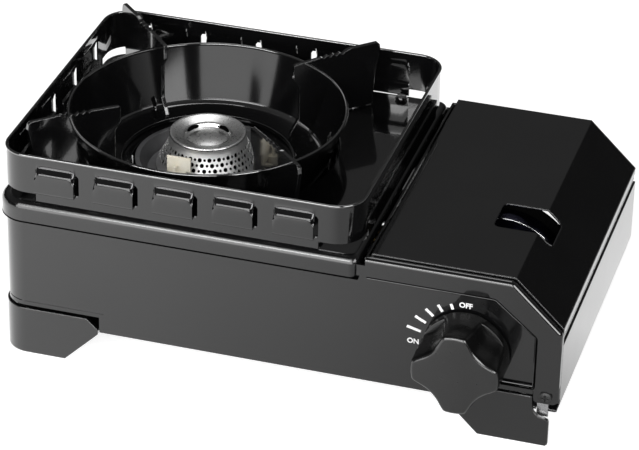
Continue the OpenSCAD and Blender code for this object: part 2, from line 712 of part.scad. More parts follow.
// Steel stirrup that carries the burner's base ring above the base plate.
module burner_bracket() {
    z = base_floor_z;
    w = 22;
    color(steel) difference() {
        union() {
            for (s = [-1, 1]) {
                translate([burner_x + 17 * s - 0.7, burner_y - w / 2, base_z + gap]) cube([1.4, w, z - base_z - 2 * gap]);
                translate([burner_x + 22.4 * s - 6, burner_y - w / 2, base_z + gap]) cube([12, w, 1.2]);
                translate([burner_x + 22.4 * s - 6, burner_y - w / 2, z - 1.2 - gap]) cube([12, w, 1.2]);
            }
            translate([burner_x - 17.7, burner_y - w / 2, base_z + gap]) cube([35.4, w, 1.2]);
        }
        for (s = [-1, 1]) translate([burner_x + bolt_in * s, burner_y, base_z - 1]) cylinder(r = 1.5 + gap, h = 80);
        rod_x(burner_x + 10, burner_x + 30, burner_y, tube_z, tube_r + 0.2);
    }
}

module burner_screws() {
    color(steel) for (s = [-1, 1]) translate([burner_x + bolt_in * s, burner_y, 0]) {
        screw_up(base_z0, 1.5, 4.6);
        translate([0, 0, base_floor_z + 0.9]) mirror([0, 0, 1]) screw_up(0, 1.5, 4.6);
    }
}

// Pan-head screw pointing up, its head under z.
module screw_up(z, r, l) {
    translate([0, 0, z]) rotate_extrude() polygon([
        [0, -2], [r * 1.2, -2], [r * 2, -1.2], [r * 2, 0], [r, 0], [r, l], [0, l + 0.8]
    ]);
}

pipe_r = 3;
pipe_y = front_y + 23.5;

module gas_nozzle() {
    color(brass) difference() {
        union() {
            rod_x(nozzle_x, nozzle_x + 10, burner_y, tube_z, 5);
            translate([nozzle_x - 3, burner_y, tube_z]) rotate([0, 90, 0]) cylinder(r1 = 2, r2 = 4, h = 3);
            translate([nozzle_x + 3, burner_y - 3, base_z + gap]) cube([4, 6, tube_z - base_z]);
        }
        rod_x(nozzle_x - 4, nozzle_x + 4, burner_y, tube_z, 0.6);
        rod_y(pipe_x, tube_z, burner_y - 8, burner_y, pipe_r + gap);
    }
}

module gas_pipe() {
    b = 9;
    color(brass) union() {
        rod_y(pipe_x, tube_z, pipe_y + b, burner_y - gap, pipe_r);
        translate([pipe_x + b, pipe_y + b, tube_z]) rotate([0, 0, 180]) rotate_extrude(angle = 90)
            translate([b, 0]) circle(r = pipe_r);
        rod_x(pipe_x + b, bay_x - 23, pipe_y, tube_z, pipe_r);
    }
}

spark_x = burner_x - 6;
spark_y = burner_y - 34.4;

module spark_electrode() {
    x = spark_x;
    y = spark_y;
    color(cream) union() {
        translate([x, y, hollow_z - 12]) cylinder(r = 2.2, h = 18);
        translate([x, y, hollow_z + 6]) cylinder(r = 0.8, h = 7);
        translate([x, y, hollow_z + 12.2]) rotate([-90, 0, 0]) cylinder(r = 0.8, h = 2);
    }
}

// Folded cream plate that shields the electrode, standing on the burner's base ring.
module spark_guard() {
    y = burner_y - 30;
    z = hollow_z + 2;
    color(cream) union() {
        translate([burner_x - 11, y - 1, z + 7.4]) cube([12.3, 1, 7.6]);
        translate([burner_x - 11, y - 1, z]) cube([10, 1, 8]);
        for (x = [-11, -3]) translate([burner_x + x, y - 5, z]) cube([2, 4.5, 1]);
    }
}

lead_r = 1.1;
lead_y = front_y + 5.4;
lead_z = 26;
lead_b = 4;
lead_x0 = knob_x + 25.2;

// Insulated wire from the igniter to the electrode, laid along the shell's front and clipped there.
module ignition_lead() {
    x = spark_x;
    y = spark_y;
    color(black) union() {
        translate([lead_x0, lead_y, lead_z + lead_b]) cylinder(r = lead_r, h = knob_z - 5.2 - lead_z - lead_b);
        translate([lead_x0 - lead_b, lead_y, lead_z + lead_b]) rotate([90, 0, 0]) rotate([0, 0, 270])
            rotate_extrude(angle = 90) translate([lead_b, 0]) circle(r = lead_r);
        rod_x(x + lead_b, lead_x0 - lead_b, lead_y, lead_z, lead_r);
        translate([x + lead_b, lead_y + lead_b, lead_z]) rotate([0, 0, 180]) rotate_extrude(angle = 90)
            translate([lead_b, 0]) circle(r = lead_r);
        rod_y(x, lead_z, lead_y + lead_b, y - lead_b, lead_r);
        translate([x, y - lead_b, lead_z + lead_b]) rotate([90, 0, 90]) rotate([0, 0, 270])
            rotate_extrude(angle = 90) translate([lead_b, 0]) circle(r = lead_r);
        translate([x, y, lead_z + lead_b]) cylinder(r = lead_r, h = hollow_z - 12 - lead_z - lead_b);
    }
}

// ---- gas valve, knob and igniter ----

bracket_y = front_y + 10;
valve_y1 = seat_y - 2.5;

module regulator_bracket() {
    color(steel) difference() {
        union() {
            translate([bay_x - 26, bracket_y - sheet_t, base_z + gap]) cube([52, sheet_t, panel_h - 12 - base_z]);
            translate([bay_x - 26, bracket_y - sheet_t, base_z + gap]) cube([52, 12, sheet_t]);
            for (x = [bay_x - 26, bay_x + 20]) translate([x, in_y0 + gap, panel_h - 14])
                cube([6, bracket_y - in_y0 - gap, sheet_t]);
        }
        rod_y(knob_x, knob_z, bracket_y - 3, bracket_y + 3, shaft_r + 0.8);
    }
}

module regulator() {
    y = bracket_y + gap;
    color(aluminium) difference() {
        union() {
            rod_y(bay_x, bay_z, y, y + 22, 21);
            rod_y(bay_x, bay_z, y + 22, y + 26, 24);
            rod_y(bay_x, bay_z, y + 26, y + 34, 17);
            rod_y(bay_x, bay_z, y + 34, valve_y1, 12);
            rod_y(bay_x, bay_z, valve_y1 - 3, valve_y1, 16.5);
            rod_x(bay_x - 27, bay_x - 10, pipe_y, tube_z, 5);
            rod_y(knob_x, knob_z, y, y + 12, 8);
        }
        rod_y(knob_x, knob_z, y - 1, y + 11, shaft_r + turn_gap);
        rod_x(bay_x - 28, bay_x - 22, pipe_y, tube_z, pipe_r + gap);
        rod_y(bay_x, bay_z, valve_y1 - 10, valve_y1 + 1, 4.5);
    }
}

module seat_ring() {
    color(chrome) difference() {
        union() {
            rod_y(bay_x, bay_z, valve_y1 + gap, seat_y + collar_l, seat_r);
            translate([bay_x - 2, valve_y1 + gap, bay_z + 18]) cube([4, 6, 7]);
        }
        rod_y(bay_x, bay_z, seat_y, seat_y + collar_l + 1, seat_r - 1);
        rod_y(bay_x, bay_z, valve_y1 - 1, seat_y + 9, 14);
        for (s = [-1, 1]) translate([bay_x + 22 * s - 5, seat_y - 1, bay_z - 8]) cube([10, 3, 16]);
    }
}

module seat_magnets() {
    color(steel) for (s = [-1, 1]) translate([bay_x + 21.5 * s - 4.5, valve_y1 - 6, bay_z - 9]) cube([9, 6, 18]);
}

// Curved aluminium sheet under the cartridge, which also carries warmth to it.
module cradle() {
    color(aluminium) difference() {
        union() {
            intersection() {
                rod_y(bay_x, bay_z, seat_y + collar_l + 1, in_y1 - 1, cradle_r + cradle_t);
                along_y(seat_y + collar_l + 1, in_y1 - 1) polygon([
                    [bay_x, bay_z + 5], [bay_x - 60, bay_z - 40], [bay_x + 60, bay_z - 40]
                ]);
            }
            for (s = [-1, 1]) translate([bay_x + 27 * s - 0.6, seat_y + 14, base_z + gap]) cube([1.2, in_y1 - seat_y - 32, 13]);
        }
        rod_y(bay_x, bay_z, seat_y, in_y1 + 3, cradle_r);
    }
}

// Spiral cam on the knob's shaft: its radius grows by the plunger's travel over the knob's turn.
module igniter_cam() {
    pts = [for (a = [0 : 6 : cam_turn + 12]) let (r = cam_r + plunger_travel * a / cam_turn) [r * cos(-a), r * sin(-a)]];
    back = [for (a = [cam_turn + 24 : 12 : 348]) [cam_r * cos(-a), cam_r * sin(-a)]];
    color(dark_plastic) difference() {
        translate([knob_x, bracket_y - sheet_t - 1, knob_z]) rotate([90, 0, 0]) linear_extrude(3.4)
            polygon(concat(pts, back));
        rod_y(knob_x, knob_z, front_y, bracket_y, shaft_r + 0.02);
    }
}

cam_mid_y = bracket_y - sheet_t - 2.7;

module igniter_plunger() {
    color(steel) union() {
        rod_x(plunger_x, plunger_x + 14, cam_mid_y, knob_z, 1.2);
        rod_x(plunger_x + 5, plunger_x + 6.2, cam_mid_y, knob_z, 2.3);
    }
}

module igniter() {
    x = plunger_x + 10;
    color(dark_plastic) difference() {
        union() {
            translate([x, in_y0 + gap, knob_z - 5]) cube([13.4, bracket_y - sheet_t - in_y0 - 2 * gap, 10]);
            translate([x + 11.4, in_y0 + gap, knob_z - 8]) cube([2, bracket_y - sheet_t - in_y0 - 2 * gap, 16]);
        }
        rod_x(x - 1, x + 10, cam_mid_y, knob_z, 1.2 + turn_gap);
        translate([lead_x0, lead_y, knob_z - 5.1]) cylinder(r = lead_r + gap, h = 1);
    }
}

module knob_shaft() {
    color(steel) union() {
        rod_y(knob_x, knob_z, front_y - knob_out + 6, bracket_y + 10, shaft_r);
    }
}

module knob() {
    ya = front_y - knob_out;
    yb = front_y - 1.6;
    color(dark_plastic) difference() {
        union() {
            rod_y(knob_x, knob_z, ya + 0.8, yb, knob_r);
            translate([knob_x, ya + 0.8, knob_z]) rotate([90, 0, 0]) cylinder(r1 = knob_r, r2 = knob_r - 0.8, h = 0.8);
        }
        for (a = [50 : 90 : 320]) translate([knob_x, ya, knob_z]) rotate([0, a, 0]) {
            translate([scoop_r + knob_r * 0.75, 0, 0]) rotate([0, 0, -12]) translate([0, -8, 0]) rotate([-90, 0, 0])
                cylinder(r = scoop_r, h = knob_out + 3);
        }
        rod_y(knob_x, knob_z, yb - 4, yb + 1, knob_r - 4);
        rod_y(knob_x, knob_z, ya + 6 - gap, yb, shaft_r + 0.02);
    }
}

// ---- lid ----

// Lid section in XZ: top, slope, short skirt over the hinge, and a lip at the left edge.
function lid_outer() = [
    [lid_x0, lid_z - 6], [lid_x0, lid_z], [lid_slope_x, lid_z], [lid_x1, lid_slope_z], [lid_x1, lid_skirt_z]
];
function lid_inner() = [
    [lid_x1 - lid_t, lid_skirt_z], [lid_x1 - lid_t, lid_slope_z - 0.42 * lid_t],
    [lid_slope_x - 0.42 * lid_t, lid_z - lid_t], [lid_x0 + lid_t, lid_z - lid_t], [lid_x0 + lid_t, lid_z - 6]
];

module lid() {
    color(enamel) difference() {
        union() {
            along_y(lid_y0, lid_y1) polygon(concat(lid_outer(), lid_inner()));
            for (k = [1, 3]) {
                rod_y(hinge_x, hinge_z, knuckle_y(k), knuckle_y(k) + knuckle_l - free, knuckle_r);
                translate([hinge_x + 0.4, knuckle_y(k), hinge_z])
                    cube([lid_x1 - lid_t - hinge_x - 0.3, knuckle_l - free, 4]);
            }
        }
        translate([0, 0, lid_slope_z]) linear_extrude(slope_h + 5)
            plan(window_x0, window_y - window_l / 2, window_x1, window_y + window_l / 2, 3, 3);
        for (k = [1, 3]) rod_y(hinge_x, hinge_z, knuckle_y(k) - 1, knuckle_y(k) + knuckle_l + 1, pin_r + turn_gap);
    }
}

module hinge_pin() {
    color(steel) union() {
        rod_y(hinge_x, hinge_z, knuckle_y(0) - 0.6, knuckle_y(5) - free + 0.6, pin_r);
    }
}

// ---- feet and fasteners ----

foot_y = front_y - 0.7;
foot_x = shell_x0 - 1;
foot_x1 = x0 + 52.8;

function foot_bolts() = [
    for (x = [x0 + 25, x0 + 39, x1 - 39, x1 - 23]) for (y = [front_y + 18, back_y - 18]) [x, y]
];

// Flange with two bolt holes that lies under the base plate.
module foot_flange(xa, xb, ya, yb) {
    translate([xa, ya, base_z0 - gap - 2]) cube([xb - xa, yb - ya, 2]);
}

module foot_holes() {
    for (p = foot_bolts()) translate([p[0], p[1], base_z0 - 4]) cylinder(r = 2 + gap, h = 5);
}

// Corner foot at the front left; its wall follows the rounded corner.
module corner_foot() {
    r = shell_r + 1;
    difference() {
        union() {
            difference() {
                linear_extrude(foot_h) plan(foot_x, foot_y, foot_x1, back_y, r, 0.1);
                translate([0, 0, -1]) linear_extrude(foot_h + 2)
                    plan(foot_x + foot_t, foot_y + foot_t, foot_x1 + foot_l, back_y + foot_l, r - foot_t, 0.1);
                translate([x0 - 2, foot_y + foot_l, -1]) cube([20, 200, 40]);
                translate([x0 - 2, foot_y + foot_l, 0]) rotate([45, 0, 0]) translate([0, -14, -14]) cube([20, 28, 28]);
                along_y(foot_y - 1, foot_y + 5) translate([foot_x1, 0]) polygon([
                    [-17.6, -0.01], [0.2, 17.6], [10, 17.6], [10, -0.01]
                ]);
                along_y(foot_y - 1, foot_y + 5) translate([foot_x1, foot_h]) polygon([
                    [-5.8, 0.01], [0.2, -5.6], [10, -5.6], [10, 0.01]
                ]);
            }
            foot_flange(foot_x + foot_t + 12, foot_x1 - 3.8, foot_y + foot_t - 0.5, foot_y + 30);
            translate([foot_x + r - 4, foot_y + 1, 0]) cube([12, 12, base_z0 - gap]);
        }
        foot_holes();
    }
}

module foot_front_left() {
    color(enamel) corner_foot();
}

module foot_back_left() {
    color(enamel) translate([0, front_y + back_y, 0]) mirror([0, 1, 0]) corner_foot();
}

// Flat foot on the cartridge side: a front plate with a cut-away corner, a rib and a flange. The
// plate's outline starts from the stove's right side.
module flat_foot(pts) {
    difference() {
        union() {
            along_y(foot_y, foot_y + foot_t) translate([x1, 0]) polygon(pts);
            foot_flange(x1 - 53, x1 - 15, foot_y + foot_t - 0.5, foot_y + 30);
            translate([x1 - 32, foot_y + 1, 0]) cube([4, 26, base_z0 - gap]);
        }
        foot_holes();
    }
}

module foot_front_right() {
    color(enamel) flat_foot([
        [-39, 0], [-5.5, 0], [-4.5, 1], [-4.5, 13], [-5, 14.4], [-6.6, 15.1], [-9.9, 15.9], [-12.1, 18],
        [-13, 20.8], [-13.2, 26.6], [-58, 26.6], [-58, 18.8]
    ]);
}

module foot_back_right() {
    color(enamel) translate([0, front_y + back_y, 0]) mirror([0, 1, 0])
        flat_foot([[-39, 0], [-21, 0], [-9, 15], [-9, 18.6], [-58, 18.6]]);
}

module foot_screws() {
    color(steel) for (p = foot_bolts()) translate([p[0], p[1], 0]) screw_up(base_z0 - gap - 2, 2, 1.2 + sheet_t);
}

// Cross-head screws: one in the front panel's tab, two at the rear panel's left edge.
module panel_screws() {
    color(steel) difference() {
        union() {
            translate([tab_x, front_y, tab_z]) rotate([-90, 0, 0]) screw_up(0, 1.5, 5);
            for (z = [40, 70]) translate([part_x + 5, back_y, z]) rotate([90, 0, 0]) screw_up(0, 1.5, 5);
        }
        for (d = [[3.6, 0.7], [0.7, 3.6]]) {
            translate([tab_x - d[0] / 2, front_y - 2.1, tab_z - d[1] / 2]) cube([d[0], 0.9, d[1]]);
            for (z = [40, 70]) translate([part_x + 5 - d[0] / 2, back_y + 1.2, z - d[1] / 2]) cube([d[0], 1, d[1]]);
        }
    }
}

body_shell();
side_panel();
rear_panel();
base_plate();
partition();
corner_bracket();
top_plate();
windshield();
windshield_rivets();
pan_bowl();
pan_support_front_left();
pan_support_front_right();
pan_support_back_left();
pan_support_back_right();
burner_base();
burner_skirt();
burner_cap();
burner_head();
burner_bracket();
mixing_tube();
gas_nozzle();
gas_pipe();
spark_electrode();
spark_guard();
ignition_lead();
regulator();
regulator_bracket();
seat_ring();
seat_magnets();
cradle();
igniter();
igniter_plunger();
igniter_cam();
knob_shaft();
knob();
lid();
hinge_pin();
foot_front_left();
foot_front_right();
foot_back_left();
foot_back_right();
foot_screws();
panel_screws();
burner_screws();
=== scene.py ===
"""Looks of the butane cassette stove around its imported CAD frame.

Shapes are worked out in mm and scaled by MM. The camera, lamps, floor, noises and bumps are in metres.
+Z is up, and -Y is the stove's front.
"""

import json
import math

import bmesh
import bpy
from mathutils import Matrix, Vector


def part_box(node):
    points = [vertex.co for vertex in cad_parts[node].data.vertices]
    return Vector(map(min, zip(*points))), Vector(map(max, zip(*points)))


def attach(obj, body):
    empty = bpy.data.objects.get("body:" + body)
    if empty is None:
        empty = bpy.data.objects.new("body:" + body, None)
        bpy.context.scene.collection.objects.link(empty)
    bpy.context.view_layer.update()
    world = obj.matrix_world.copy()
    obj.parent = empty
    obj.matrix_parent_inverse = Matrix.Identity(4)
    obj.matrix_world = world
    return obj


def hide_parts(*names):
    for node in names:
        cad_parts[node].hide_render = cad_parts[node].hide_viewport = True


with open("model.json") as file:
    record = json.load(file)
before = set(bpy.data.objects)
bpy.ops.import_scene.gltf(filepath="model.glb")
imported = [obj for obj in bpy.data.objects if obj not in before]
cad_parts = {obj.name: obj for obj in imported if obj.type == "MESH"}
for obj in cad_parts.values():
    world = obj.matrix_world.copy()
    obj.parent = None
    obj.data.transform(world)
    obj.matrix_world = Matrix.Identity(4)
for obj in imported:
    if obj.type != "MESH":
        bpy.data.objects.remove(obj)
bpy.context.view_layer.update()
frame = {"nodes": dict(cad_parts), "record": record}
NODES = frame["nodes"]
MM = 0.001


# ---- camera ----

CAM_AZ = math.radians(16.43)
CAM_EL = math.radians(30.26)
CAM_ROLL = math.radians(1.06)
CAM_AT = Vector((0.3797, -1.3081, 0.8542))
PICTURE_W = 639
FOCAL_PX = 3157
SHIFT_PX = (15.4, -4.5)
SENSOR_W = 36
CLIP = (0.05, 50)


def add_camera():
    back = Vector((math.sin(CAM_AZ) * math.cos(CAM_EL), -math.cos(CAM_AZ) * math.cos(CAM_EL),
                   math.sin(CAM_EL)))
    right = Vector((math.cos(CAM_AZ), math.sin(CAM_AZ), 0))
    up = back.cross(right)
    x = right * math.cos(CAM_ROLL) + up * math.sin(CAM_ROLL)
    y = up * math.cos(CAM_ROLL) - right * math.sin(CAM_ROLL)
    data = bpy.data.cameras.new("camera")
    data.sensor_width = SENSOR_W
    data.lens = FOCAL_PX / PICTURE_W * data.sensor_width
    data.shift_x = SHIFT_PX[0] / PICTURE_W
    data.shift_y = SHIFT_PX[1] / PICTURE_W
    data.clip_start, data.clip_end = CLIP
    cam = bpy.data.objects.new("camera", data)
    bpy.context.scene.collection.objects.link(cam)
    cam.matrix_world = Matrix.Translation(CAM_AT) @ Matrix((x, y, back)).transposed().to_4x4()
    bpy.context.scene.camera = cam


# ---- node helpers ----

NOISE_BAND = (0.3, 0.7)  # between these values a noise goes from one look to the other
BEVEL_SAMPLES = 6


def new_material(name):
    """A material with an empty node tree, and its Principled shader wired to the output."""
    mat = bpy.data.materials.new(name)
    mat.use_nodes = True
    tree = mat.node_tree
    tree.nodes.clear()
    out = tree.nodes.new("ShaderNodeOutputMaterial")
    shader = tree.nodes.new("ShaderNodeBsdfPrincipled")
    tree.links.new(shader.outputs[0], out.inputs[0])
    return mat, tree, shader


def node(tree, kind, **values):
    """A new node. A keyword is a property of the node, or else the name of an input."""
    made = tree.nodes.new("ShaderNode" + kind)
    for key, value in values.items():
        if hasattr(made, key):
            setattr(made, key, value)
        else:
            made.inputs[key.replace("_", " ")].default_value = value
    return made


def noise(tree, scale, detail=2.0, rough=0.5):
    """Noise in object space; the scale is in cycles per metre."""
    place = node(tree, "TexCoord")
    made = node(tree, "TexNoise", Scale=scale, Detail=detail, Roughness=rough)
    tree.links.new(place.outputs["Object"], made.inputs["Vector"])
    return made.outputs[0]


def ramp(tree, source, low, high, to_low, to_high):
    """The source's range from low to high, mapped to another."""
    made = node(tree, "MapRange")
    for key, value in zip(("From Min", "From Max", "To Min", "To Max"), (low, high, to_low, to_high)):
        made.inputs[key].default_value = value
    tree.links.new(source, made.inputs["Value"])
    return made.outputs[0]


def tint(tree, shader, source, dark, light):
    """Base colour that wanders between two tones."""
    made = node(tree, "ValToRGB")
    for element, position, tone in zip(made.color_ramp.elements, NOISE_BAND, (dark, light)):
        element.position = position
        element.color = (*tone, 1)
    tree.links.new(source, made.inputs[0])
    tree.links.new(made.outputs[0], shader.inputs["Base Color"])


def roughen(tree, shader, source, low, high):
    """Roughness that wanders between two values."""
    tree.links.new(ramp(tree, source, *NOISE_BAND, low, high), shader.inputs["Roughness"])


def bumps(tree, shader, layers, edge=0.0, coat=False):
    """Stacks (height source, strength, distance) bumps over a softened edge normal."""
    last = None
    if edge:
        last = node(tree, "Bevel", samples=BEVEL_SAMPLES, Radius=edge).outputs[0]
    for source, strength, distance in layers:
        made = node(tree, "Bump", Strength=strength, Distance=distance)
        tree.links.new(source, made.inputs["Height"])
        if last:
            tree.links.new(last, made.inputs["Normal"])
        last = made.outputs[0]
    if last:
        tree.links.new(last, shader.inputs["Normal"])
        if coat:
            tree.links.new(last, shader.inputs["Coat Normal"])


def setup(shader, **values):
    """Sets inputs of the shader by their names."""
    for key, value in values.items():
        socket = shader.inputs[key.replace("_", " ")]
        socket.default_value = (*value, 1) if isinstance(value, tuple) else value


# ---- materials ----

def grey(level):
    return (level,) * 3


def enamel(name="enamel", edge=0.0, ior=1.5, haze=0.012):
    """Black gloss enamel on pressed sheet: a deep coat with a faint orange peel."""
    mat, tree, shader = new_material(name)
    setup(shader, IOR=ior, Coat_Weight=1.0, Coat_Roughness=haze, Coat_IOR=ior)
    wide = noise(tree, 24)
    tint(tree, shader, wide, (0.0025, 0.0025, 0.0027), (0.004, 0.004, 0.0042))
    roughen(tree, shader, noise(tree, 90, 3), 0.08, 0.14)
    bumps(tree, shader, [(wide, 0.04, 0.002), (noise(tree, 900), 0.015, 0.0002)], edge, coat=True)
    return mat


def finish(name, tones, rough, grain, edge=0.0, **values):
    """A finish with an uneven colour, roughness and surface.

    Each of the three starts with the (scale, detail) of its noise. Then tones has the dark and the
    light colour, rough the least and the most, and grain the strength and distance of its bumps.
    """
    mat, tree, shader = new_material(name)
    setup(shader, **values)
    tint(tree, shader, noise(tree, *tones[0]), *tones[1:])
    roughen(tree, shader, noise(tree, *rough[0]), *rough[1:])
    bumps(tree, shader, [(noise(tree, *grain[0]), *grain[1:])], edge)
    return mat


def knob_plastic(name="knob_plastic", ior=1.58, coat=0.7):
    return finish(name, ((60, 2), grey(0.003), grey(0.005)), ((300, 4), 0.2, 0.28),
                  ((1500, 3), 0.03, 0.0002), IOR=ior, Coat_Weight=coat, Coat_Roughness=0.12)


def metal(name, dark, light, rough_low, rough_high, edge=0.0003, grain=0.05):
    return finish(name, ((150, 3), dark, light), ((700, 3), rough_low, rough_high),
                  ((1800, 3), grain, 0.0002), edge, Metallic=1.0)


def flat_paint(name, dark, light, rough, ior=1.45):
    """Printed or matt paint with a slight unevenness."""
    mat, tree, shader = new_material(name)
    setup(shader, IOR=ior, Roughness=rough)
    tint(tree, shader, noise(tree, 900, 3), grey(dark), grey(light))
    return mat


FINISHES = {
    "enamel": enamel(edge=0.001),
    "knob_plastic": knob_plastic(),
    "plastic": finish("plastic", ((60, 2), grey(0.012), grey(0.02)), ((500, 4), 0.38, 0.55),
                      ((3500, 3), 0.3, 0.0002), 0.0005, IOR=1.5),
    "steel": metal("steel", (0.50, 0.50, 0.51), (0.66, 0.66, 0.67), 0.22, 0.34),
    "chrome": metal("chrome", (0.80, 0.80, 0.81), (0.88, 0.88, 0.89), 0.08, 0.14, grain=0.02),
    "aluminium": metal("aluminium", (0.62, 0.62, 0.63), (0.74, 0.74, 0.75), 0.3, 0.42, grain=0.1),
    "brass": metal("brass", (0.62, 0.43, 0.17), (0.74, 0.55, 0.25), 0.2, 0.32),
    "ceramic": finish("ceramic", ((200, 2), (0.92, 0.86, 0.71), (0.96, 0.92, 0.80)),
                      ((900, 3), 0.3, 0.45), ((1500, 3), 0.08, 0.0002), 0.0004, IOR=1.5),
    "wire": finish("wire", ((200, 2), grey(0.02), grey(0.035)), ((800, 3), 0.45, 0.6),
                   ((3000, 2), 0.15, 0.0001), IOR=1.45),
}
SHEET_ENAMEL = enamel("sheet_enamel")
# A more reflective copy of the enamel, with IOR 2.0, that paints brighter highlights on the windshield's
# rim and the bowl's upward faces
HIGHLIGHT_ENAMEL = enamel("rim_highlight_enamel", ior=2.0)
# A less reflective copy of the enamel, with IOR 1.28, that darkens the bowl's reflections: painted shade
BOWL_SHADED_ENAMEL = enamel("bowl_enamel", ior=1.28, haze=0.1)
BLADE_ENAMEL = enamel("blade_enamel", edge=0.0006, ior=1.6)
CAP_STEEL = metal("cap_steel", grey(0.84), (0.92, 0.92, 0.91), 0.26, 0.32, edge=0.0, grain=0.02)
BASE_STEEL = metal("base_steel", (0.34, 0.34, 0.35), (0.40, 0.40, 0.41), 0.34, 0.4, grain=0.02)
# The knob's plastic with a lower IOR and no coat, so that the grip's sides read darker: painted shade
KNOB_SIDE_SHADED = knob_plastic("knob_side", 1.2, 0.0)
# Blue-black steel for the seat ring: its dark colour paints the dark reflections of the polished ring
SEAT_SHADED_STEEL = metal("seat_steel", (0.05, 0.05, 0.09), (0.07, 0.07, 0.12), 0.2, 0.28, grain=0.02)
SKIRT_STEEL = metal("skirt_steel", grey(0.86), (0.94, 0.94, 0.93), 0.42, 0.5, edge=0.0, grain=0.02)
MARK_WHITE = flat_paint("mark_white", 0.85, 0.92, 0.5)
# Matt black that paints shade: in the border's crease, under the plate's skirt, in the cap's vents,
# behind the skirt's holes and above the cartridge seat
SHADE_BLACK = flat_paint("painted_shade_black", 0.001, 0.002, 0.9, ior=1.02)

# Nodes of the CAD, by the first two words of their names, that don't wear their slot's finish
OWN_FINISHES = {
    "pan_support": BLADE_ENAMEL,
    "burner_base": BASE_STEEL,
    # the seat ring wears steel darkened with a painted reflection
    "seat_ring": SEAT_SHADED_STEEL,
    "windshield_rivets": FINISHES["enamel"],
    "cradle": FINISHES["enamel"],
}


def dress_cad():
    """Gives each node of the CAD its finish."""
    for row in frame["record"]["subparts"]:
        obj = NODES[row["node"]]
        obj.data.materials.clear()
        kind = "_".join(row["node"].split("_")[:2])
        obj.data.materials.append(OWN_FINISHES.get(kind, FINISHES[row["material_slot"]]))


# ---- mesh helpers ----

WELD = 1e-6
SPLIT_ANGLE = 50


def add_piece(name, mesh, body, slot, material=None, replaces=(), angle=35):
    """A piece that rides on a body; its finish is the slot's, or its own variant of that."""
    mesh.materials.append(material or FINISHES[slot])
    mesh.shade_smooth()
    mesh.set_sharp_from_angle(angle=math.radians(angle))
    obj = bpy.data.objects.new(name, mesh)
    bpy.context.scene.collection.objects.link(obj)
    if replaces:
        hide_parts(*replaces)
    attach(obj, body)
    return obj


def mesh_of(name, points, faces, weld=WELD):
    """A mesh from points in mm, with points that coincide welded."""
    bm = bmesh.new()
    verts = [bm.verts.new(Vector(p) * MM) for p in points]
    for face in faces:
        if len(set(face)) > 2:
            bm.faces.new([verts[i] for i in face])
    bmesh.ops.remove_doubles(bm, verts=bm.verts, dist=weld)
    mesh = bpy.data.meshes.new(name)
    bm.to_mesh(mesh)
    bm.free()
    return mesh


def poly_mesh(name, polys, weld=WELD):
    """A welded mesh of polygons given by their corners in mm."""
    points = [p for poly in polys for p in poly]
    faces, start = [], 0
    for poly in polys:
        faces.append(tuple(range(start, start + len(poly))))
        start += len(poly)
    return mesh_of(name, points, faces, weld)


def thicken(obj, thickness):
    """Gives a sheet its thickness, behind its outer face."""
    sheet = obj.modifiers.new("sheet", "SOLIDIFY")
    sheet.thickness = thickness * MM
    sheet.offset = -1
    obj.modifiers.new("edges", "EDGE_SPLIT").split_angle = math.radians(SPLIT_ANGLE)


def band(shape, closed_rows=False, closed_columns=False):
    """Faces of a grid whose points are numbered row by row; shape is (rows, columns)."""
    m, n = shape
    faces = []
    for i in range(m if closed_rows else m - 1):
        for j in range(n if closed_columns else n - 1):
            k, l = (i + 1) % m, (j + 1) % n
            faces.append((i * n + j, i * n + l, k * n + l, k * n + j))
    return faces


def bezier(p0, p1, p2, p3, steps):
    """Points of a cubic curve in the plane."""
    made = []
    for i in range(steps + 1):
        t = i / steps
        w = ((1 - t) ** 3, 3 * t * (1 - t) ** 2, 3 * t * t * (1 - t), t ** 3)
        made.append(tuple(sum(a * p[k] for a, p in zip(w, (p0, p1, p2, p3))) for k in (0, 1)))
    return made


FILLET_PULL = 0.55
FILLET_SHARE = 0.48


def fillet(points, radii, steps=5):
    """The closed outline with its corners rounded by curves that reach a radius along each side."""
    made = []
    count = len(points)
    for i, (point, reach) in enumerate(zip(points, radii)):
        p = Vector(point)
        if reach <= 0:
            made.append(tuple(p))
            continue
        ends = []
        for other in (points[i - 1], points[(i + 1) % count]):
            side = Vector(other) - p
            ends.append(p + side.normalized() * min(reach, side.length * FILLET_SHARE))
        inner = [e + (p - e) * FILLET_PULL for e in ends]
        made += bezier(ends[0], inner[0], inner[1], ends[1], steps)
    return made


CAP_LO, CAP_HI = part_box("burner_cap")
BURNER = (CAP_LO + CAP_HI) / 2


def round_burner(angle, r, z):
    """A point in mm round the burner's axis."""
    return (BURNER.x / MM + r * math.cos(angle), BURNER.y / MM + r * math.sin(angle), z)


def lathe(name, profile, steps, closed=True):
    """Turns an (r, z) outline in mm about the burner's axis."""
    points = []
    for i in range(steps):
        a = 2 * math.pi * i / steps
        points += [round_burner(a, r, z) for r, z in profile]
    return mesh_of(name, points, band((steps, len(profile)), True, closed))


def facing(mesh):
    """Turns the mesh's faces outwards."""
    bm = bmesh.new()
    bm.from_mesh(mesh)
    bmesh.ops.recalc_face_normals(bm, faces=bm.faces)
    bm.to_mesh(mesh)
    bm.free()
    return mesh


def second_material(obj, material, chosen):
    """Gives another material to the faces whose normals are chosen."""
    obj.data.materials.append(material)
    for polygon in obj.data.polygons:
        polygon.material_index = int(chosen(polygon.normal))


# ---- windshield: one sheet with pressed-out louvers and a rolled rim ----

SHEET_T = 0.9
SHIELD_R = 14
RIM_R = 0.8
RIM_INSET = 0.35
RELIEF_L = 19.4
RELIEF_H = 4
LOUVER_OUT = 3.4
SIDE_LOUVER_OUT = 1.9
LOUVER_HALF = 10.1
LOUVER_PITCH = 30.2
LOUVER_SHIFT = -0.6
LOUVER_TOP = 24
LOUVER_FOOT = 5.8
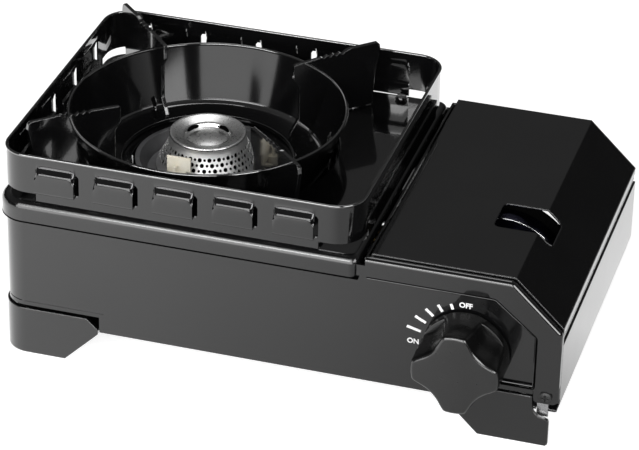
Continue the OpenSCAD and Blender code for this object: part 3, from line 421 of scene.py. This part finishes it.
# A louver's outline from the top, as (share of its reach, height), and how far its corners are rounded
LOUVER_CORNERS = ((0, LOUVER_TOP), (0, 21.2), (0.18, 19.1), (0.84, 17.1), (1, 15.2), (1, 6.6),
                  (0.8, LOUVER_FOOT), (0, LOUVER_FOOT))
LOUVER_ROUNDS = (0, 1.6, 0.15, 0.15, 1.6, 0.7, 0.3, 0)
# The slits before and after a louver, their top and the size of their cut corners
SLIT_GAPS = (0.4, 1.6)
FAR_SLIT_GAPS = (0.4, 2.2)
SLIT_TOP = 17.6
SLIT_CORNER = (0.9, 1.3)
# From this height up a louver's ends close onto the wall
CLOSE_FROM = 13.5
CLOSE_POWER = 14
RELIEF_ROW, SLIT_ROW, SWELL_ROW = 0, 2, 3


def shield_sides():
    """Each side's first corner, direction, outward normal and length, in mm, with the front first."""
    lo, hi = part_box("windshield")
    x0, x1 = lo.x / MM + SIDE_LOUVER_OUT, hi.x / MM - SIDE_LOUVER_OUT
    y0, y1 = lo.y / MM + LOUVER_OUT, hi.y / MM - SIDE_LOUVER_OUT
    corners = [Vector((x0, y0)), Vector((x1, y0)), Vector((x1, y1)), Vector((x0, y1))]
    made = []
    for a, b in zip(corners, corners[1:] + corners[:1]):
        along = (b - a).normalized()
        made.append((a, along, Vector((along.y, -along.x)), (b - a).length))
    return made


def corner_arc(corner, along, out, length, radius, steps=10):
    """(point, outward normal) round the corner at the side's far end."""
    centre = corner + along * (length - radius) - out * radius
    made = []
    for i in range(steps + 1):
        t = math.pi / 2 * i / steps
        n = out * math.cos(t) + along * math.sin(t)
        made.append((centre + n * radius, n))
    return made


def louver_centres(out, length):
    """Distances of a side's louvers from its first corner; the right side has none."""
    count = 5 if abs(out.y) > 0.5 else 4
    if out.x > 0.5:
        count = 0
    return [length / 2 + LOUVER_SHIFT + (k - (count - 1) / 2) * LOUVER_PITCH for k in range(count)]


def louver_columns(centre):
    """Distances along the side of one louver's columns, closer together at its ends."""
    return [centre + LOUVER_HALF * math.sin(math.pi / 2 * k / 8) for k in range(-8, 9)]


def wall_panels(at, rows, length, centres, gaps):
    """The side's flat wall, without its corner reliefs, its slits and the places of its louvers."""
    before, after = (LOUVER_HALF + gap for gap in gaps)
    stops = {SHIELD_R, RELIEF_L, length - RELIEF_L, length - SHIELD_R}
    for c in centres:
        stops.update(louver_columns(c) + [c - before, c + after])
    stops = sorted(stops)
    made = []
    for a, b in zip(stops, stops[1:]):
        mid = (a + b) / 2
        left_out = set()
        if mid < RELIEF_L or mid > length - RELIEF_L:
            left_out.add(RELIEF_ROW)
        if any(c - before < mid < c + after for c in centres):
            left_out.add(SLIT_ROW)
        if any(abs(mid - c) < LOUVER_HALF for c in centres):
            left_out.add(SWELL_ROW)
        for r, (za, zb) in enumerate(zip(rows, rows[1:])):
            if r not in left_out:
                made.append([at(a, 0, za), at(b, 0, za), at(b, 0, zb), at(a, 0, zb)])
    return made


def slit_corners(at, rows, end):
    """The triangles that cut the corners of the slit after a louver."""
    made = []
    for z, turn in ((rows[SLIT_ROW + 1], -1), (rows[SLIT_ROW], 1)):
        triangle = [at(end, 0, z), at(end - SLIT_CORNER[0], 0, z), at(end, 0, z + turn * SLIT_CORNER[1])]
        made.append(triangle if turn < 0 else triangle[::-1])
    return made


def louver_faces(at, base, centre, profile):
    """A louver's outline swept along its columns, its ends drawn in to the wall above CLOSE_FROM."""
    columns = []
    for u in louver_columns(centre):
        edge = abs((u - centre) / LOUVER_HALF) ** CLOSE_POWER
        column = []
        for o, z in profile:
            closed = min(max((z - CLOSE_FROM) / (SLIT_TOP - CLOSE_FROM), 0), 1)
            column.append(at(u, o * (1 - edge * closed), base + z))
        columns.append(column)
    made = []
    for p, q in zip(columns, columns[1:]):
        made += [[p[k + 1], q[k + 1], q[k], p[k]] for k in range(len(profile) - 1)]
    return made


def windshield():
    """The square wall, with its louvers, its slits and the reliefs at the feet of its corners."""
    lo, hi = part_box("windshield")
    base = lo.z / MM
    rows = [base + h for h in (0, RELIEF_H, LOUVER_FOOT, SLIT_TOP, LOUVER_TOP)] + [hi.z / MM - RIM_R]
    polys = []
    for corner, along, out, length in shield_sides():
        front = out.y < -0.5
        reach = LOUVER_OUT if front else SIDE_LOUVER_OUT
        gaps = SLIT_GAPS if front else FAR_SLIT_GAPS
        profile = fillet([(o * reach, z) for o, z in LOUVER_CORNERS], LOUVER_ROUNDS, 4)
        centres = louver_centres(out, length)

        def at(u, o, z):
            p = corner + along * u + out * o
            return (p.x, p.y, z)

        polys += wall_panels(at, rows, length, centres, gaps)
        for c in centres:
            polys += slit_corners(at, rows, c + LOUVER_HALF + gaps[1])
            polys += louver_faces(at, base, c, profile)
        arc = corner_arc(corner, along, out, length, SHIELD_R)
        for (p, _), (q, _) in zip(arc, arc[1:]):
            for za, zb in zip(rows[1:], rows[2:]):
                polys.append([(p.x, p.y, za), (q.x, q.y, za), (q.x, q.y, zb), (p.x, p.y, zb)])
    sheet = add_piece("windshield_sheet", poly_mesh("windshield_sheet", polys), "stove_body", "enamel",
                      SHEET_ENAMEL, ["windshield"], angle=50)
    thicken(sheet, SHEET_T)


def ring_mesh(name, path, section, closed=True):
    """A mesh of a closed (out, height) section along a path of (point, outward normal)."""
    points = []
    for p, n in path:
        points += [(p.x + n.x * o, p.y + n.y * o, z) for o, z in section]
    return mesh_of(name, points, band((len(path), len(section)), closed, True))


def shield_rim():
    """The rolled bead along the wall's top."""
    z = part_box("windshield")[1].z / MM - RIM_R
    section = [(-RIM_INSET + RIM_R * math.cos(a), z + RIM_R * math.sin(a))
               for a in [math.pi / 6 * k for k in range(12)]]
    path = []
    for side in shield_sides():
        path += corner_arc(*side, SHIELD_R)
    mesh = facing(ring_mesh("windshield_rim", path, section))
    # The rim wears the highlight enamel, a painted highlight along its bead
    add_piece("windshield_rim", mesh, "stove_body", "enamel", HIGHLIGHT_ENAMEL)


# ---- shell ----

FRONT_Y = -73.7  # the raised border's face
PANEL_Y = -71.5  # the face of the panel inside it
BENDS = ((110, 78), (131, 60.5))  # (x, z) where the panel's edge turns at the chamfer
PANEL_EDGE = ((47, 78), *BENDS, (131, 31.8), (113, 31.8))
OUTER_BENDS = ((118, 88), (143, 64))
BEND_REACH = 3
# The panel's edge lies right of PANEL_X and above PANEL_Z. The border's outer outline lies above
# OUTLINE_Z, and along the chamfer above CHAMFER_Z where x + z is over CHAMFER_SUM.
PANEL_X, PANEL_Z = 46.5, 31.5
OUTLINE_Z = 78.5
CHAMFER_Z, CHAMFER_SUM = 60.7, 193.5
# (width, segments) of the rounds
BEND_ROUND = (BEND_REACH, 4)
OUTER_BEND_ROUND = (1.4, 3)
OUTLINE_ROUND = (2.2, 5)
OPENING_ROUND = (1.1, 4)
PANEL_ROUND = (0.7, 3)
FLAT_ANGLE = math.radians(0.3)
SHARP_ANGLE = math.radians(25)
# (inset from the panel's edge, y, radius, finish)
CREASES = {
    # a black tube of painted shade in the crease
    "crease_shade": (0, -73.45, 0.42, SHADE_BLACK),
    "crease_roll": (0.95, -72.6, 0.45, SHEET_ENAMEL),
}


def shell():
    """The pressed shell, with its front border's edges and corners rounded."""
    bm = bmesh.new()
    bm.from_mesh(NODES["body_shell"].data)
    bmesh.ops.remove_doubles(bm, verts=bm.verts, dist=WELD)
    bmesh.ops.dissolve_limit(bm, angle_limit=FLAT_ANGLE, verts=bm.verts, edges=bm.edges, delimit=set())

    def bevel(size, wanted):
        """Rounds the sharp edges whose two ends, in mm, are wanted."""
        picked = []
        for edge in bm.edges:
            if len(edge.link_faces) == 2 and edge.calc_face_angle(0) > SHARP_ANGLE:
                p, q = (v.co / MM for v in edge.verts)
                if wanted(p, q):
                    picked.append(edge)
        bmesh.ops.bevel(bm, geom=picked, offset=size[0] * MM, offset_type="OFFSET", segments=size[1],
                        profile=0.5, affect="EDGES", clamp_overlap=True)

    def through(p, q, bends):
        """Whether the edge runs backwards from the front at one of the bends."""
        return (abs(p.x - q.x) < 0.1 and abs(p.z - q.z) < 0.1 and min(p.y, q.y) < PANEL_Y + 0.5
                and any(abs(p.x - x) < 0.3 and abs(p.z - z) < 0.3 for x, z in bends))

    def level(p, q, y):
        return abs(p.y - y) < 0.02 and abs(q.y - y) < 0.02

    def outer(p):
        return p.z > OUTLINE_Z or (p.z > CHAMFER_Z and p.x + p.z > CHAMFER_SUM)

    def outline(p, q):
        return level(p, q, FRONT_Y) and outer(p) and outer(q)

    def opening(p, q):
        return level(p, q, FRONT_Y) and not outline(p, q)

    def on_panel(p, q):
        return level(p, q, PANEL_Y) and min(p.x, q.x) > PANEL_X and min(p.z, q.z) > PANEL_Z

    bevel(BEND_ROUND, lambda p, q: through(p, q, BENDS))
    bevel(OUTER_BEND_ROUND, lambda p, q: through(p, q, OUTER_BENDS))
    bevel(OUTLINE_ROUND, outline)
    bevel(OPENING_ROUND, opening)
    bevel(PANEL_ROUND, on_panel)
    mesh = bpy.data.meshes.new("shell_pressed")
    bm.to_mesh(mesh)
    bm.free()
    obj = add_piece("shell_pressed", mesh, "stove_body", "enamel", SHEET_ENAMEL, ["body_shell"])
    obj.modifiers.new("normals", "WEIGHTED_NORMAL").keep_sharp = True


def border_crease():
    """The line where the pressed panel leaves its border: a black tube of painted shade in the crease,
    with a thin roll beside it.
    """
    corners = [Vector(p) for p in PANEL_EDGE]
    path = [corners[0]]
    for before, here, after in zip(corners, corners[1:], corners[2:]):
        ends = [here + (other - here).normalized() * BEND_REACH for other in (before, after)]
        path += [Vector(p) for p in bezier(ends[0], here, here, ends[1], 6)]
    path.append(corners[-1])
    for name, (inset, y, radius, material) in CREASES.items():
        points = []
        for i, p in enumerate(path):
            along = (path[min(i + 1, len(path) - 1)] - path[max(i - 1, 0)]).normalized()
            inward = Vector((along.y, -along.x))
            for k in range(8):
                a = math.pi / 4 * k
                q = p + inward * (inset + radius * math.cos(a))
                points.append((q.x, y + radius * math.sin(a), q.y))
        faces = band((len(path), 8), False, True)
        add_piece(name, facing(mesh_of(name, points, faces)), "stove_body", "enamel", material)


SEAM_Z = 75.3
SEAM_H = 0.65
SEAM_R = 15
SEAM_IN, SEAM_OUT = -1.6, 0.1
SEAM_END = 0.4


def skirt_gap_shade():
    """A matt black strip of painted shadow along the joint between the top plate's skirt and the shell,
    open at the plate's right end.
    """
    lo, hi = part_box("top_plate")
    front, back, left, right = lo.y / MM, hi.y / MM, lo.x / MM, hi.x / MM - SEAM_END
    corners = [Vector(p) for p in ((right, back), (left, back), (left, front), (right, front))]
    path = [(corners[0], Vector((0, 1)))]
    for a, b in zip(corners[:2], corners[1:3]):
        along = (b - a).normalized()
        path += corner_arc(a, along, Vector((along.y, -along.x)), (b - a).length, SEAM_R)
    path.append((corners[3], Vector((0, -1))))
    top = SEAM_Z + SEAM_H
    section = [(SEAM_IN, SEAM_Z), (SEAM_OUT, SEAM_Z), (SEAM_OUT, top), (SEAM_IN, top)]
    mesh = facing(ring_mesh("skirt_gap_shade", path, section, False))
    # a matt black strip of painted shadow under the skirt's edge
    add_piece("skirt_gap_shade", mesh, "stove_body", "enamel", SHADE_BLACK)


# ---- burner and bowl ----

BOWL_FLOOR_R = 59.5
BOWL_OPENING_R = 43
BOWL_RIM_INSET = 1.3
BOWL_BEAD = 0.9
BOWL_SHEET = 1
BOWL_LIP = 2.4


def pan_bowl():
    """The inner bowl: a flat floor with a lipped opening, a flared wall and a rolled rim."""
    lo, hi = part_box("pan_bowl")
    z0, z1 = lo.z / MM, hi.z / MM
    rim_r = (hi.x - lo.x) / 2 / MM - BOWL_RIM_INSET
    rim_z = z1 - BOWL_BEAD
    floor, opening = BOWL_FLOOR_R, BOWL_OPENING_R
    z_in, z_lip = z0 + BOWL_SHEET, z0 + BOWL_LIP
    turns = [math.radians(a) for a in range(-60, 211, 27)]
    roll = [(rim_r + BOWL_BEAD * math.cos(a), rim_z + BOWL_BEAD * math.sin(a)) for a in turns]
    below = [(opening, z0), (floor + 0.3, z0)]
    above = [(floor - 0.7, z_in), (opening + 1, z_in), (opening + 0.9, z_lip), (opening, z_lip)]
    rounds = [0.3, 3.4] + [0] * len(roll) + [2.6, 0.4, 0.3, 0.3]
    mesh = facing(lathe("bowl", fillet(below + roll + above, rounds), steps=160))
    bowl = add_piece("bowl", mesh, "pan_unit", "enamel", BOWL_SHADED_ENAMEL, ["pan_bowl"])
    # Upward faces take the highlight enamel as a painted highlight; the rest keeps the darker copy as
    # painted shade
    second_material(bowl, HIGHLIGHT_ENAMEL, lambda normal: normal.z > 0.5)


CAP_DROP = 0.9  # from the top of the CAD's cap to the height that the outline is drawn from
VENTS = 4
FIRST_VENT, VENT_HALF = 61.43, 24  # degrees
VENT_WIDTH = 0.9  # share of the step's slope
VENT_LIFT = 0.12
STEP_EDGE = (12.05, -1.45)  # (r, z) of the step's upper edge
STEP_FALL = (1.45, 2.5)


def burner_cap():
    """The cap: a rounded rim, a flange that falls inwards, a step with four vents, and a low dome."""
    z = CAP_HI.z / MM - CAP_DROP
    r = (CAP_HI.x - CAP_LO.x) / 2 / MM
    underside = [(0, z - 4), (9, z - 4.2), (12.6, z - 2.6), (r - 1, z - 1.7)]
    rim = [(r, z - 1.3), (r, z + 0.1), (r - 1.2, z + 0.3)]
    dish = [(12.1, z - 1.5), (10.7, z - 4), (9.7, z - 3.9), (5, z - 2.9), (0, z - 2.6)]
    rounds = [0, 1, 1, 1, 0.5, 0.7, 0.8, 0.7, 0.8, 0.8, 2, 0]
    mesh = facing(lathe("cap", fillet(underside + rim + dish, rounds), steps=128))
    add_piece("cap", mesh, "stove_body", "chrome", CAP_STEEL, ["burner_cap"], angle=40)

    def vent_point(middle, i, j):
        """A point of the lens-shaped vent on the step: i of 8 along it, and j of 2 down it."""
        u, v = i / 8 * 2 - 1, j / 2
        down = 0.5 + VENT_WIDTH * (1 - u * u) * (v - 0.5)
        return round_burner(middle + math.radians(VENT_HALF) * u, STEP_EDGE[0] - STEP_FALL[0] * down,
                            z + STEP_EDGE[1] - STEP_FALL[1] * down + VENT_LIFT)

    # Each vent is a black lens laid on the step: painted shade standing in for the opening
    for k in range(VENTS):
        middle = math.radians(FIRST_VENT + 360 / VENTS * k)
        quads = [[vent_point(middle, i + di, j + dj) for di, dj in ((0, 0), (1, 0), (1, 1), (0, 1))]
                 for i in range(8) for j in range(2)]
        mesh = poly_mesh("cap_vent", quads)
        add_piece("cap_vent_%d" % (k + 1), mesh, "stove_body", "chrome", SHADE_BLACK)


# (r, z) down the burner's neck and its flared skirt
SKIRT_PROFILE = [(19.3, 92.5), (19.4, 90.6), (20.0, 88.5), (21.3, 85.5), (23.2, 82.0),
                 (25.2, 78.5), (26.0, 76.0), (26.0, 72.6)]
SKIRT_T = 0.7
HOLE_SHADE_GAP = 1.8
HOLE_PAIRS = 26
HOLE_ROWS = 4
HOLE_ROW_TOP = 3.6
HOLE_ROW_H = 2.75
HOLE_R = (1.12, 0.74)
HEM = 4.6
# A hole's cell, as 16 points round its border
CELL = [(-1, -1), (-0.5, -1), (0, -1), (0.5, -1), (1, -1), (1, -0.5), (1, 0), (1, 0.5),
        (1, 1), (0.5, 1), (0, 1), (-0.5, 1), (-1, 1), (-1, 0.5), (-1, 0), (-1, -0.5)]


def skirt_at(s):
    """(r, z) at a length s down the skirt's profile."""
    for (r0, z0), (r1, z1) in zip(SKIRT_PROFILE, SKIRT_PROFILE[1:]):
        step = math.hypot(r1 - r0, z1 - z0)
        if s <= step:
            return r0 + (r1 - r0) * s / step, z0 + (z1 - z0) * s / step
        s -= step
    return SKIRT_PROFILE[-1]


def burner_skirt():
    """The burner's neck and flared skirt, with rows of alternating large and small holes."""
    cell = 2 * math.pi / (2 * HOLE_PAIRS)
    quads = []

    def on(a, s):
        return round_burner(a, *skirt_at(s))

    def plain(start, end, steps):
        """Adds the whole skirt from one length down its profile to another."""
        for k in range(steps):
            p, q = start + (end - start) * k / steps, start + (end - start) * (k + 1) / steps
            for i in range(8 * HOLE_PAIRS):
                a, b = i * cell / 4, (i + 1) * cell / 4
                quads.append([on(a, q), on(b, q), on(b, p), on(a, p)])

    def pierced(centre, mid, hole):
        """Adds a cell of the skirt round one hole."""
        r = skirt_at(mid)[0]
        border, rim = [], []
        for u, v in CELL + CELL[:1]:
            size = math.hypot(u, v)
            border.append(on(centre + u * cell / 2, mid - v * HOLE_ROW_H / 2))
            rim.append(on(centre + u / size * hole / r, mid - v / size * hole))
        quads.extend([border[i], border[i + 1], rim[i + 1], rim[i]] for i in range(len(CELL)))

    rows_end = HOLE_ROW_TOP + HOLE_ROWS * HOLE_ROW_H
    plain(0, HOLE_ROW_TOP, 6)
    plain(rows_end, rows_end + HEM, 4)
    for row in range(HOLE_ROWS):
        for k in range(2 * HOLE_PAIRS):
            pierced((k + row * 0.5) * cell, HOLE_ROW_TOP + (row + 0.5) * HOLE_ROW_H, HOLE_R[k % 2])
    skirt = add_piece("skirt", facing(poly_mesh("skirt", quads, 2 * WELD)), "stove_body", "chrome",
                      SKIRT_STEEL, ["burner_skirt"], angle=60)
    thicken(skirt, SKIRT_T)
    # A black surface behind the holes paints the shade inside the skirt
    hole_shade = lathe("skirt_hole_shade", [(r - HOLE_SHADE_GAP, z) for r, z in SKIRT_PROFILE], 96, closed=False)
    add_piece("skirt_hole_shade", hole_shade, "stove_body", "chrome", SHADE_BLACK)


# ---- cartridge seat ----

SEAT_INSET = 0.3
SEAT_EDGE_R = 0.35
SHADE_REACH = 5
SHADE_Y = (-1.2, -0.2)
LID_ROOM = 1.4  # for the lid's sheet, and clear of it
SEAT_STEPS = 96


def seat_collar():
    """The cartridge seat's bright front edge, and a black plate of painted shade that closes it off from
    the lid.
    """
    lo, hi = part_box("seat_ring")
    centre = (lo + hi) / 2 / MM
    radius = (hi.x - lo.x) / 2 / MM
    head_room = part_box("lid")[1].z / MM - LID_ROOM - centre.z
    inner = radius - SEAT_INSET
    edge, flange = [], []
    for i in range(SEAT_STEPS):
        a = 2 * math.pi * i / SEAT_STEPS
        way = Vector((math.cos(a), 0, math.sin(a)))
        for k in range(8):
            b = math.pi / 4 * k
            r, y = inner + SEAT_EDGE_R * math.cos(b), lo.y / MM + SEAT_EDGE_R * math.sin(b)
            edge.append((centre.x + r * way.x, y, centre.z + r * way.z))
        reach = radius + SHADE_REACH
        if reach * way.z > head_room:
            reach = head_room / way.z
        front, back = SHADE_Y
        for r, y in ((inner, front), (reach, front), (reach, back), (inner, back)):
            flange.append((centre.x + r * way.x, y, centre.z + r * way.z))
    mesh = facing(mesh_of("seat_edge", edge, band((SEAT_STEPS, 8), True, True)))
    add_piece("seat_edge", mesh, "stove_body", "chrome")
    # The flange is a black plate of painted shade
    mesh = facing(mesh_of("seat_shade_plate", flange, band((SEAT_STEPS, 4), True, True)))
    add_piece("seat_shade_plate", mesh, "stove_body", "enamel", SHADE_BLACK)


# ---- knob and dial ----

KNOB_LO, KNOB_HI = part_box("knob")
KNOB_X = (KNOB_LO.x + KNOB_HI.x) / 2 / MM
KNOB_Z = (KNOB_LO.z + KNOB_HI.z) / 2 / MM
KNOB_R = (KNOB_HI.x - KNOB_LO.x) / 2 / MM
KNOB_TURN = math.radians(2)
KNOB_EDGE = 2.0
KNOB_COLUMNS = 192
FLANGE_DEPTH = 18.6
FLANGE_FOLD = 0.5
# The scoops' radius, their gap from the axis and their blend into the round; per mm of depth the gap
# grows by SCOOP_FADE and the blend shrinks by BLEND_FADE
SCOOP_R = 21
SCOOP_GAP, SCOOP_FADE = 16, 0.145
BLEND, BLEND_FADE = 3.2, 0.13


def grip_radius(angle, depth):
    """Radius of the four-lobed grip: a round with four blended scoops, shallower towards the base."""
    off = (angle - KNOB_TURN) % (math.pi / 2) - math.pi / 4
    away = SCOOP_R + SCOOP_GAP + SCOOP_FADE * depth
    side = away * math.sin(off)
    if abs(side) >= SCOOP_R:
        return KNOB_R
    scoop = away * math.cos(off) - math.sqrt(SCOOP_R ** 2 - side ** 2)
    blend = BLEND - BLEND_FADE * depth
    near = max(blend - abs(scoop - KNOB_R), 0) / blend
    return min(scoop, KNOB_R) - near * near * blend / 4


def knob():
    """The grip with a rounded front edge, and the round flange behind it."""
    face = KNOB_LO.y / MM
    depth = (KNOB_HI.y - KNOB_LO.y) / MM
    # (depth behind the face, inset, whether it has the grip's lobes)
    rings = [(KNOB_EDGE * (1 - math.cos(t)), KNOB_EDGE * (1 - math.sin(t)), True)
             for t in [math.pi / 12 * k for k in range(7)]]
    rings += [(d, 0, True) for d in (5, 10, 15, FLANGE_DEPTH)]
    rings += [(FLANGE_DEPTH, FLANGE_FOLD, False), (FLANGE_DEPTH + 0.15, 0.15, False),
              (FLANGE_DEPTH + FLANGE_FOLD, 0, False), (depth - 0.3, 0, False), (depth, 0.3, False)]
    points = []
    for d, inset, lobed in rings:
        for j in range(KNOB_COLUMNS):
            a = -2 * math.pi * j / KNOB_COLUMNS
            if lobed:
                r = grip_radius(a, d) - inset
            else:
                r = max(KNOB_R - inset, grip_radius(a, FLANGE_DEPTH))
            points.append((KNOB_X + r * math.cos(a), face + d, KNOB_Z + r * math.sin(a)))
    faces = band((len(rings), KNOB_COLUMNS), False, True)
    faces.append(tuple(range(KNOB_COLUMNS))[::-1])
    faces.append(tuple(range((len(rings) - 1) * KNOB_COLUMNS, len(rings) * KNOB_COLUMNS)))
    mesh = facing(mesh_of("knob_grip", points, faces))
    grip = add_piece("knob_grip", mesh, "knob_body", "knob_plastic", replaces=["knob"], angle=40)
    # The grip's sides take the darker copy of the plastic, as painted shade
    second_material(grip, KNOB_SIDE_SHADED, lambda normal: abs(normal.y) < 0.5)


MARK_T = 0.12
TICKS = 5
TICK_HALF = 0.7
TICK_INNER, TICK_OUTER = (22.3, 0.3), (25.3, 1.33)  # the first tick's radii and their growth
FIRST_TICK, TICK_PITCH = 110, 14  # degrees
WORDS = (("OFF", 95.4, 69.2), ("ON", 70.4, 44.6))  # each with its x and z
WORD_SIZE = 3.7
WORD_BOLD = 0.12


def dial_ticks():
    """Ticks that grow longer towards ON."""
    for k in range(TICKS):
        angle = math.radians(FIRST_TICK + TICK_PITCH * k)
        inner, outer = (first + growth * k for first, growth in (TICK_INNER, TICK_OUTER))
        way = Vector((math.cos(angle), math.sin(angle)))
        across = Vector((-way.y, way.x)) * TICK_HALF
        ends = [way * inner - across, way * outer - across, way * outer + across, way * inner + across]
        points = [(KNOB_X + p.x, y, KNOB_Z + p.y) for y in (PANEL_Y, PANEL_Y - MARK_T) for p in ends]
        faces = [(4, 5, 6, 7), (0, 3, 2, 1)]
        faces += [(i, (i + 1) % 4, (i + 1) % 4 + 4, i + 4) for i in range(4)]
        mesh = facing(mesh_of("dial_tick", points, faces))
        add_piece("dial_tick_%d" % (k + 1), mesh, "stove_body", "enamel", MARK_WHITE)


def dial_words():
    """The word at each end of the ticks."""
    for word, x, z in WORDS:
        data = bpy.data.curves.new("dial_" + word.lower(), "FONT")
        data.body = word
        data.size = WORD_SIZE * MM
        data.align_x = "CENTER"
        data.extrude = MARK_T / 2 * MM
        data.offset = WORD_BOLD * MM
        data.materials.append(MARK_WHITE)
        text = bpy.data.objects.new("dial_" + word.lower(), data)
        bpy.context.scene.collection.objects.link(text)
        text.location = (x * MM, (PANEL_Y - MARK_T / 2) * MM, z * MM)
        text.rotation_euler = (math.pi / 2, 0, 0)
        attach(text, "stove_body")


# ---- stage ----

FLOOR_HALF = 6.0
FLOOR_PAINT = 0.47
SEEN_GLOW = 0.85
# The glow that the stove mirrors falls from the first value to the second towards its front right, and
# changes by BESIDE_DIM right of the stove and behind its front
MIRRORED_GLOW = (0.93, 0.13)
BESIDE_DIM = -0.53
# The ranges of x, y and x over which it changes
RIGHT_BAND = (-0.2, 0.1)
FRONT_BAND = (-0.06, 0.04)
BESIDE_BAND = (0.12, 0.2)


def total(tree, a, b):
    made = node(tree, "Math", operation="ADD")
    tree.links.new(a, made.inputs[0])
    tree.links.new(b, made.inputs[1])
    return made.outputs[0]


def product(tree, a, b):
    made = node(tree, "Math", operation="MULTIPLY")
    for socket, value in zip(made.inputs, (a, b)):
        if isinstance(value, float):
            socket.default_value = value
        else:
            tree.links.new(value, socket)
    return made.outputs[0]


def add_floor():
    """A white floor that glows for what looks at it, less at its front right, and takes the shadow."""
    mesh = bpy.data.meshes.new("floor")
    s = FLOOR_HALF
    mesh.from_pydata([(-s, -s, 0), (s, -s, 0), (s, s, 0), (-s, s, 0)], [], [(0, 1, 2, 3)])
    floor = bpy.data.objects.new("floor", mesh)
    bpy.context.scene.collection.objects.link(floor)
    mat = bpy.data.materials.new("floor")
    mat.use_nodes = True
    tree = mat.node_tree
    tree.nodes.clear()
    out = node(tree, "OutputMaterial")
    paint = node(tree, "BsdfDiffuse")
    paint.inputs["Color"].default_value = (*grey(FLOOR_PAINT), 1)
    glow = node(tree, "Emission")
    both = node(tree, "AddShader")
    place = node(tree, "TexCoord")
    split = node(tree, "SeparateXYZ")
    tree.links.new(place.outputs["Object"], split.inputs[0])
    right = ramp(tree, split.outputs["X"], *RIGHT_BAND, 0.0, 1.0)
    front = ramp(tree, split.outputs["Y"], *FRONT_BAND, 1.0, 0.0)
    fall = ramp(tree, product(tree, right, front), 0.0, 1.0, *MIRRORED_GLOW)
    beside = ramp(tree, split.outputs["X"], *BESIDE_BAND, 0.0, BESIDE_DIM)
    behind = ramp(tree, split.outputs["Y"], *FRONT_BAND, 0.0, 1.0)
    path = node(tree, "LightPath")
    seen = product(tree, path.outputs["Is Camera Ray"], SEEN_GLOW)
    mirrored = product(tree, path.outputs["Is Glossy Ray"],
                       total(tree, fall, product(tree, beside, behind)))
    tree.links.new(total(tree, seen, mirrored), glow.inputs["Strength"])
    tree.links.new(paint.outputs[0], both.inputs[0])
    tree.links.new(glow.outputs[0], both.inputs[1])
    tree.links.new(both.outputs[0], out.inputs[0])
    mesh.materials.append(mat)


# (height of the direction, brightness)
SKY = ((0.0, 0.02), (0.22, 0.02), (0.5, 0.1), (0.75, 0.1), (1.0, 0.06))
# (name, place, aim, width and height, radiance)
LAMPS = (
    ("front", (-0.4, -1.6, 0.99), (-0.4, 0, 0.99), (2.2, 1.74), 3.4),
    ("strip", (-0.35, -1.45, 1.0), (0, 0, 0.05), (1.8, 0.1), 14.0),
    ("right", (1.15, -0.85, 0.8), (0, 0, 0.08), (0.9, 0.7), 6.0),
    ("back", (-0.17, 0.585, 1.15), (-0.06, 0.01, 0.09), (0.5, 0.35), 2.2),
)


def add_world():
    """White where the camera looks; for the rest a studio, dark at the horizon and light overhead."""
    world = bpy.data.worlds.new("studio")
    bpy.context.scene.world = world
    world.use_nodes = True
    tree = world.node_tree
    tree.nodes.clear()
    out = node(tree, "OutputWorld")
    place = node(tree, "TexCoord")
    split = node(tree, "SeparateXYZ")
    tree.links.new(place.outputs["Generated"], split.inputs[0])
    sky = node(tree, "ValToRGB")
    stops = sky.color_ramp.elements
    for height, level in SKY[1:-1]:
        stops.new(height).color = (*grey(level), 1)
    for stop, (_, level) in ((stops[0], SKY[0]), (stops[-1], SKY[-1])):
        stop.color = (*grey(level), 1)
    tree.links.new(split.outputs["Z"], sky.inputs[0])
    path = node(tree, "LightPath")
    seen = node(tree, "Mix", data_type="RGBA")
    tree.links.new(path.outputs["Is Camera Ray"], seen.inputs["Factor"])
    tree.links.new(sky.outputs[0], seen.inputs[6])
    seen.inputs[7].default_value = (1, 1, 1, 1)
    light = node(tree, "Background")
    tree.links.new(seen.outputs[2], light.inputs["Color"])
    tree.links.new(light.outputs[0], out.inputs[0])


def add_lamp(name, place, aim, size, radiance):
    """A rectangular lamp whose face has the given radiance."""
    data = bpy.data.lights.new(name, "AREA")
    data.shape = "RECTANGLE"
    data.size, data.size_y = size
    data.energy = radiance * math.pi * size[0] * size[1]
    lamp = bpy.data.objects.new(name, data)
    bpy.context.scene.collection.objects.link(lamp)
    lamp.location = place
    lamp.rotation_euler = (Vector(aim) - Vector(place)).to_track_quat("-Z", "Y").to_euler()


# ---- main ----

add_camera()
add_floor()
add_world()
for lamp in LAMPS:
    add_lamp(*lamp)
bpy.context.scene.view_settings.view_transform = "Standard"
dress_cad()
windshield()
shield_rim()
shell()
border_crease()
skirt_gap_shade()
pan_bowl()
burner_cap()
burner_skirt()
seat_collar()
knob()
dial_ticks()
dial_words()
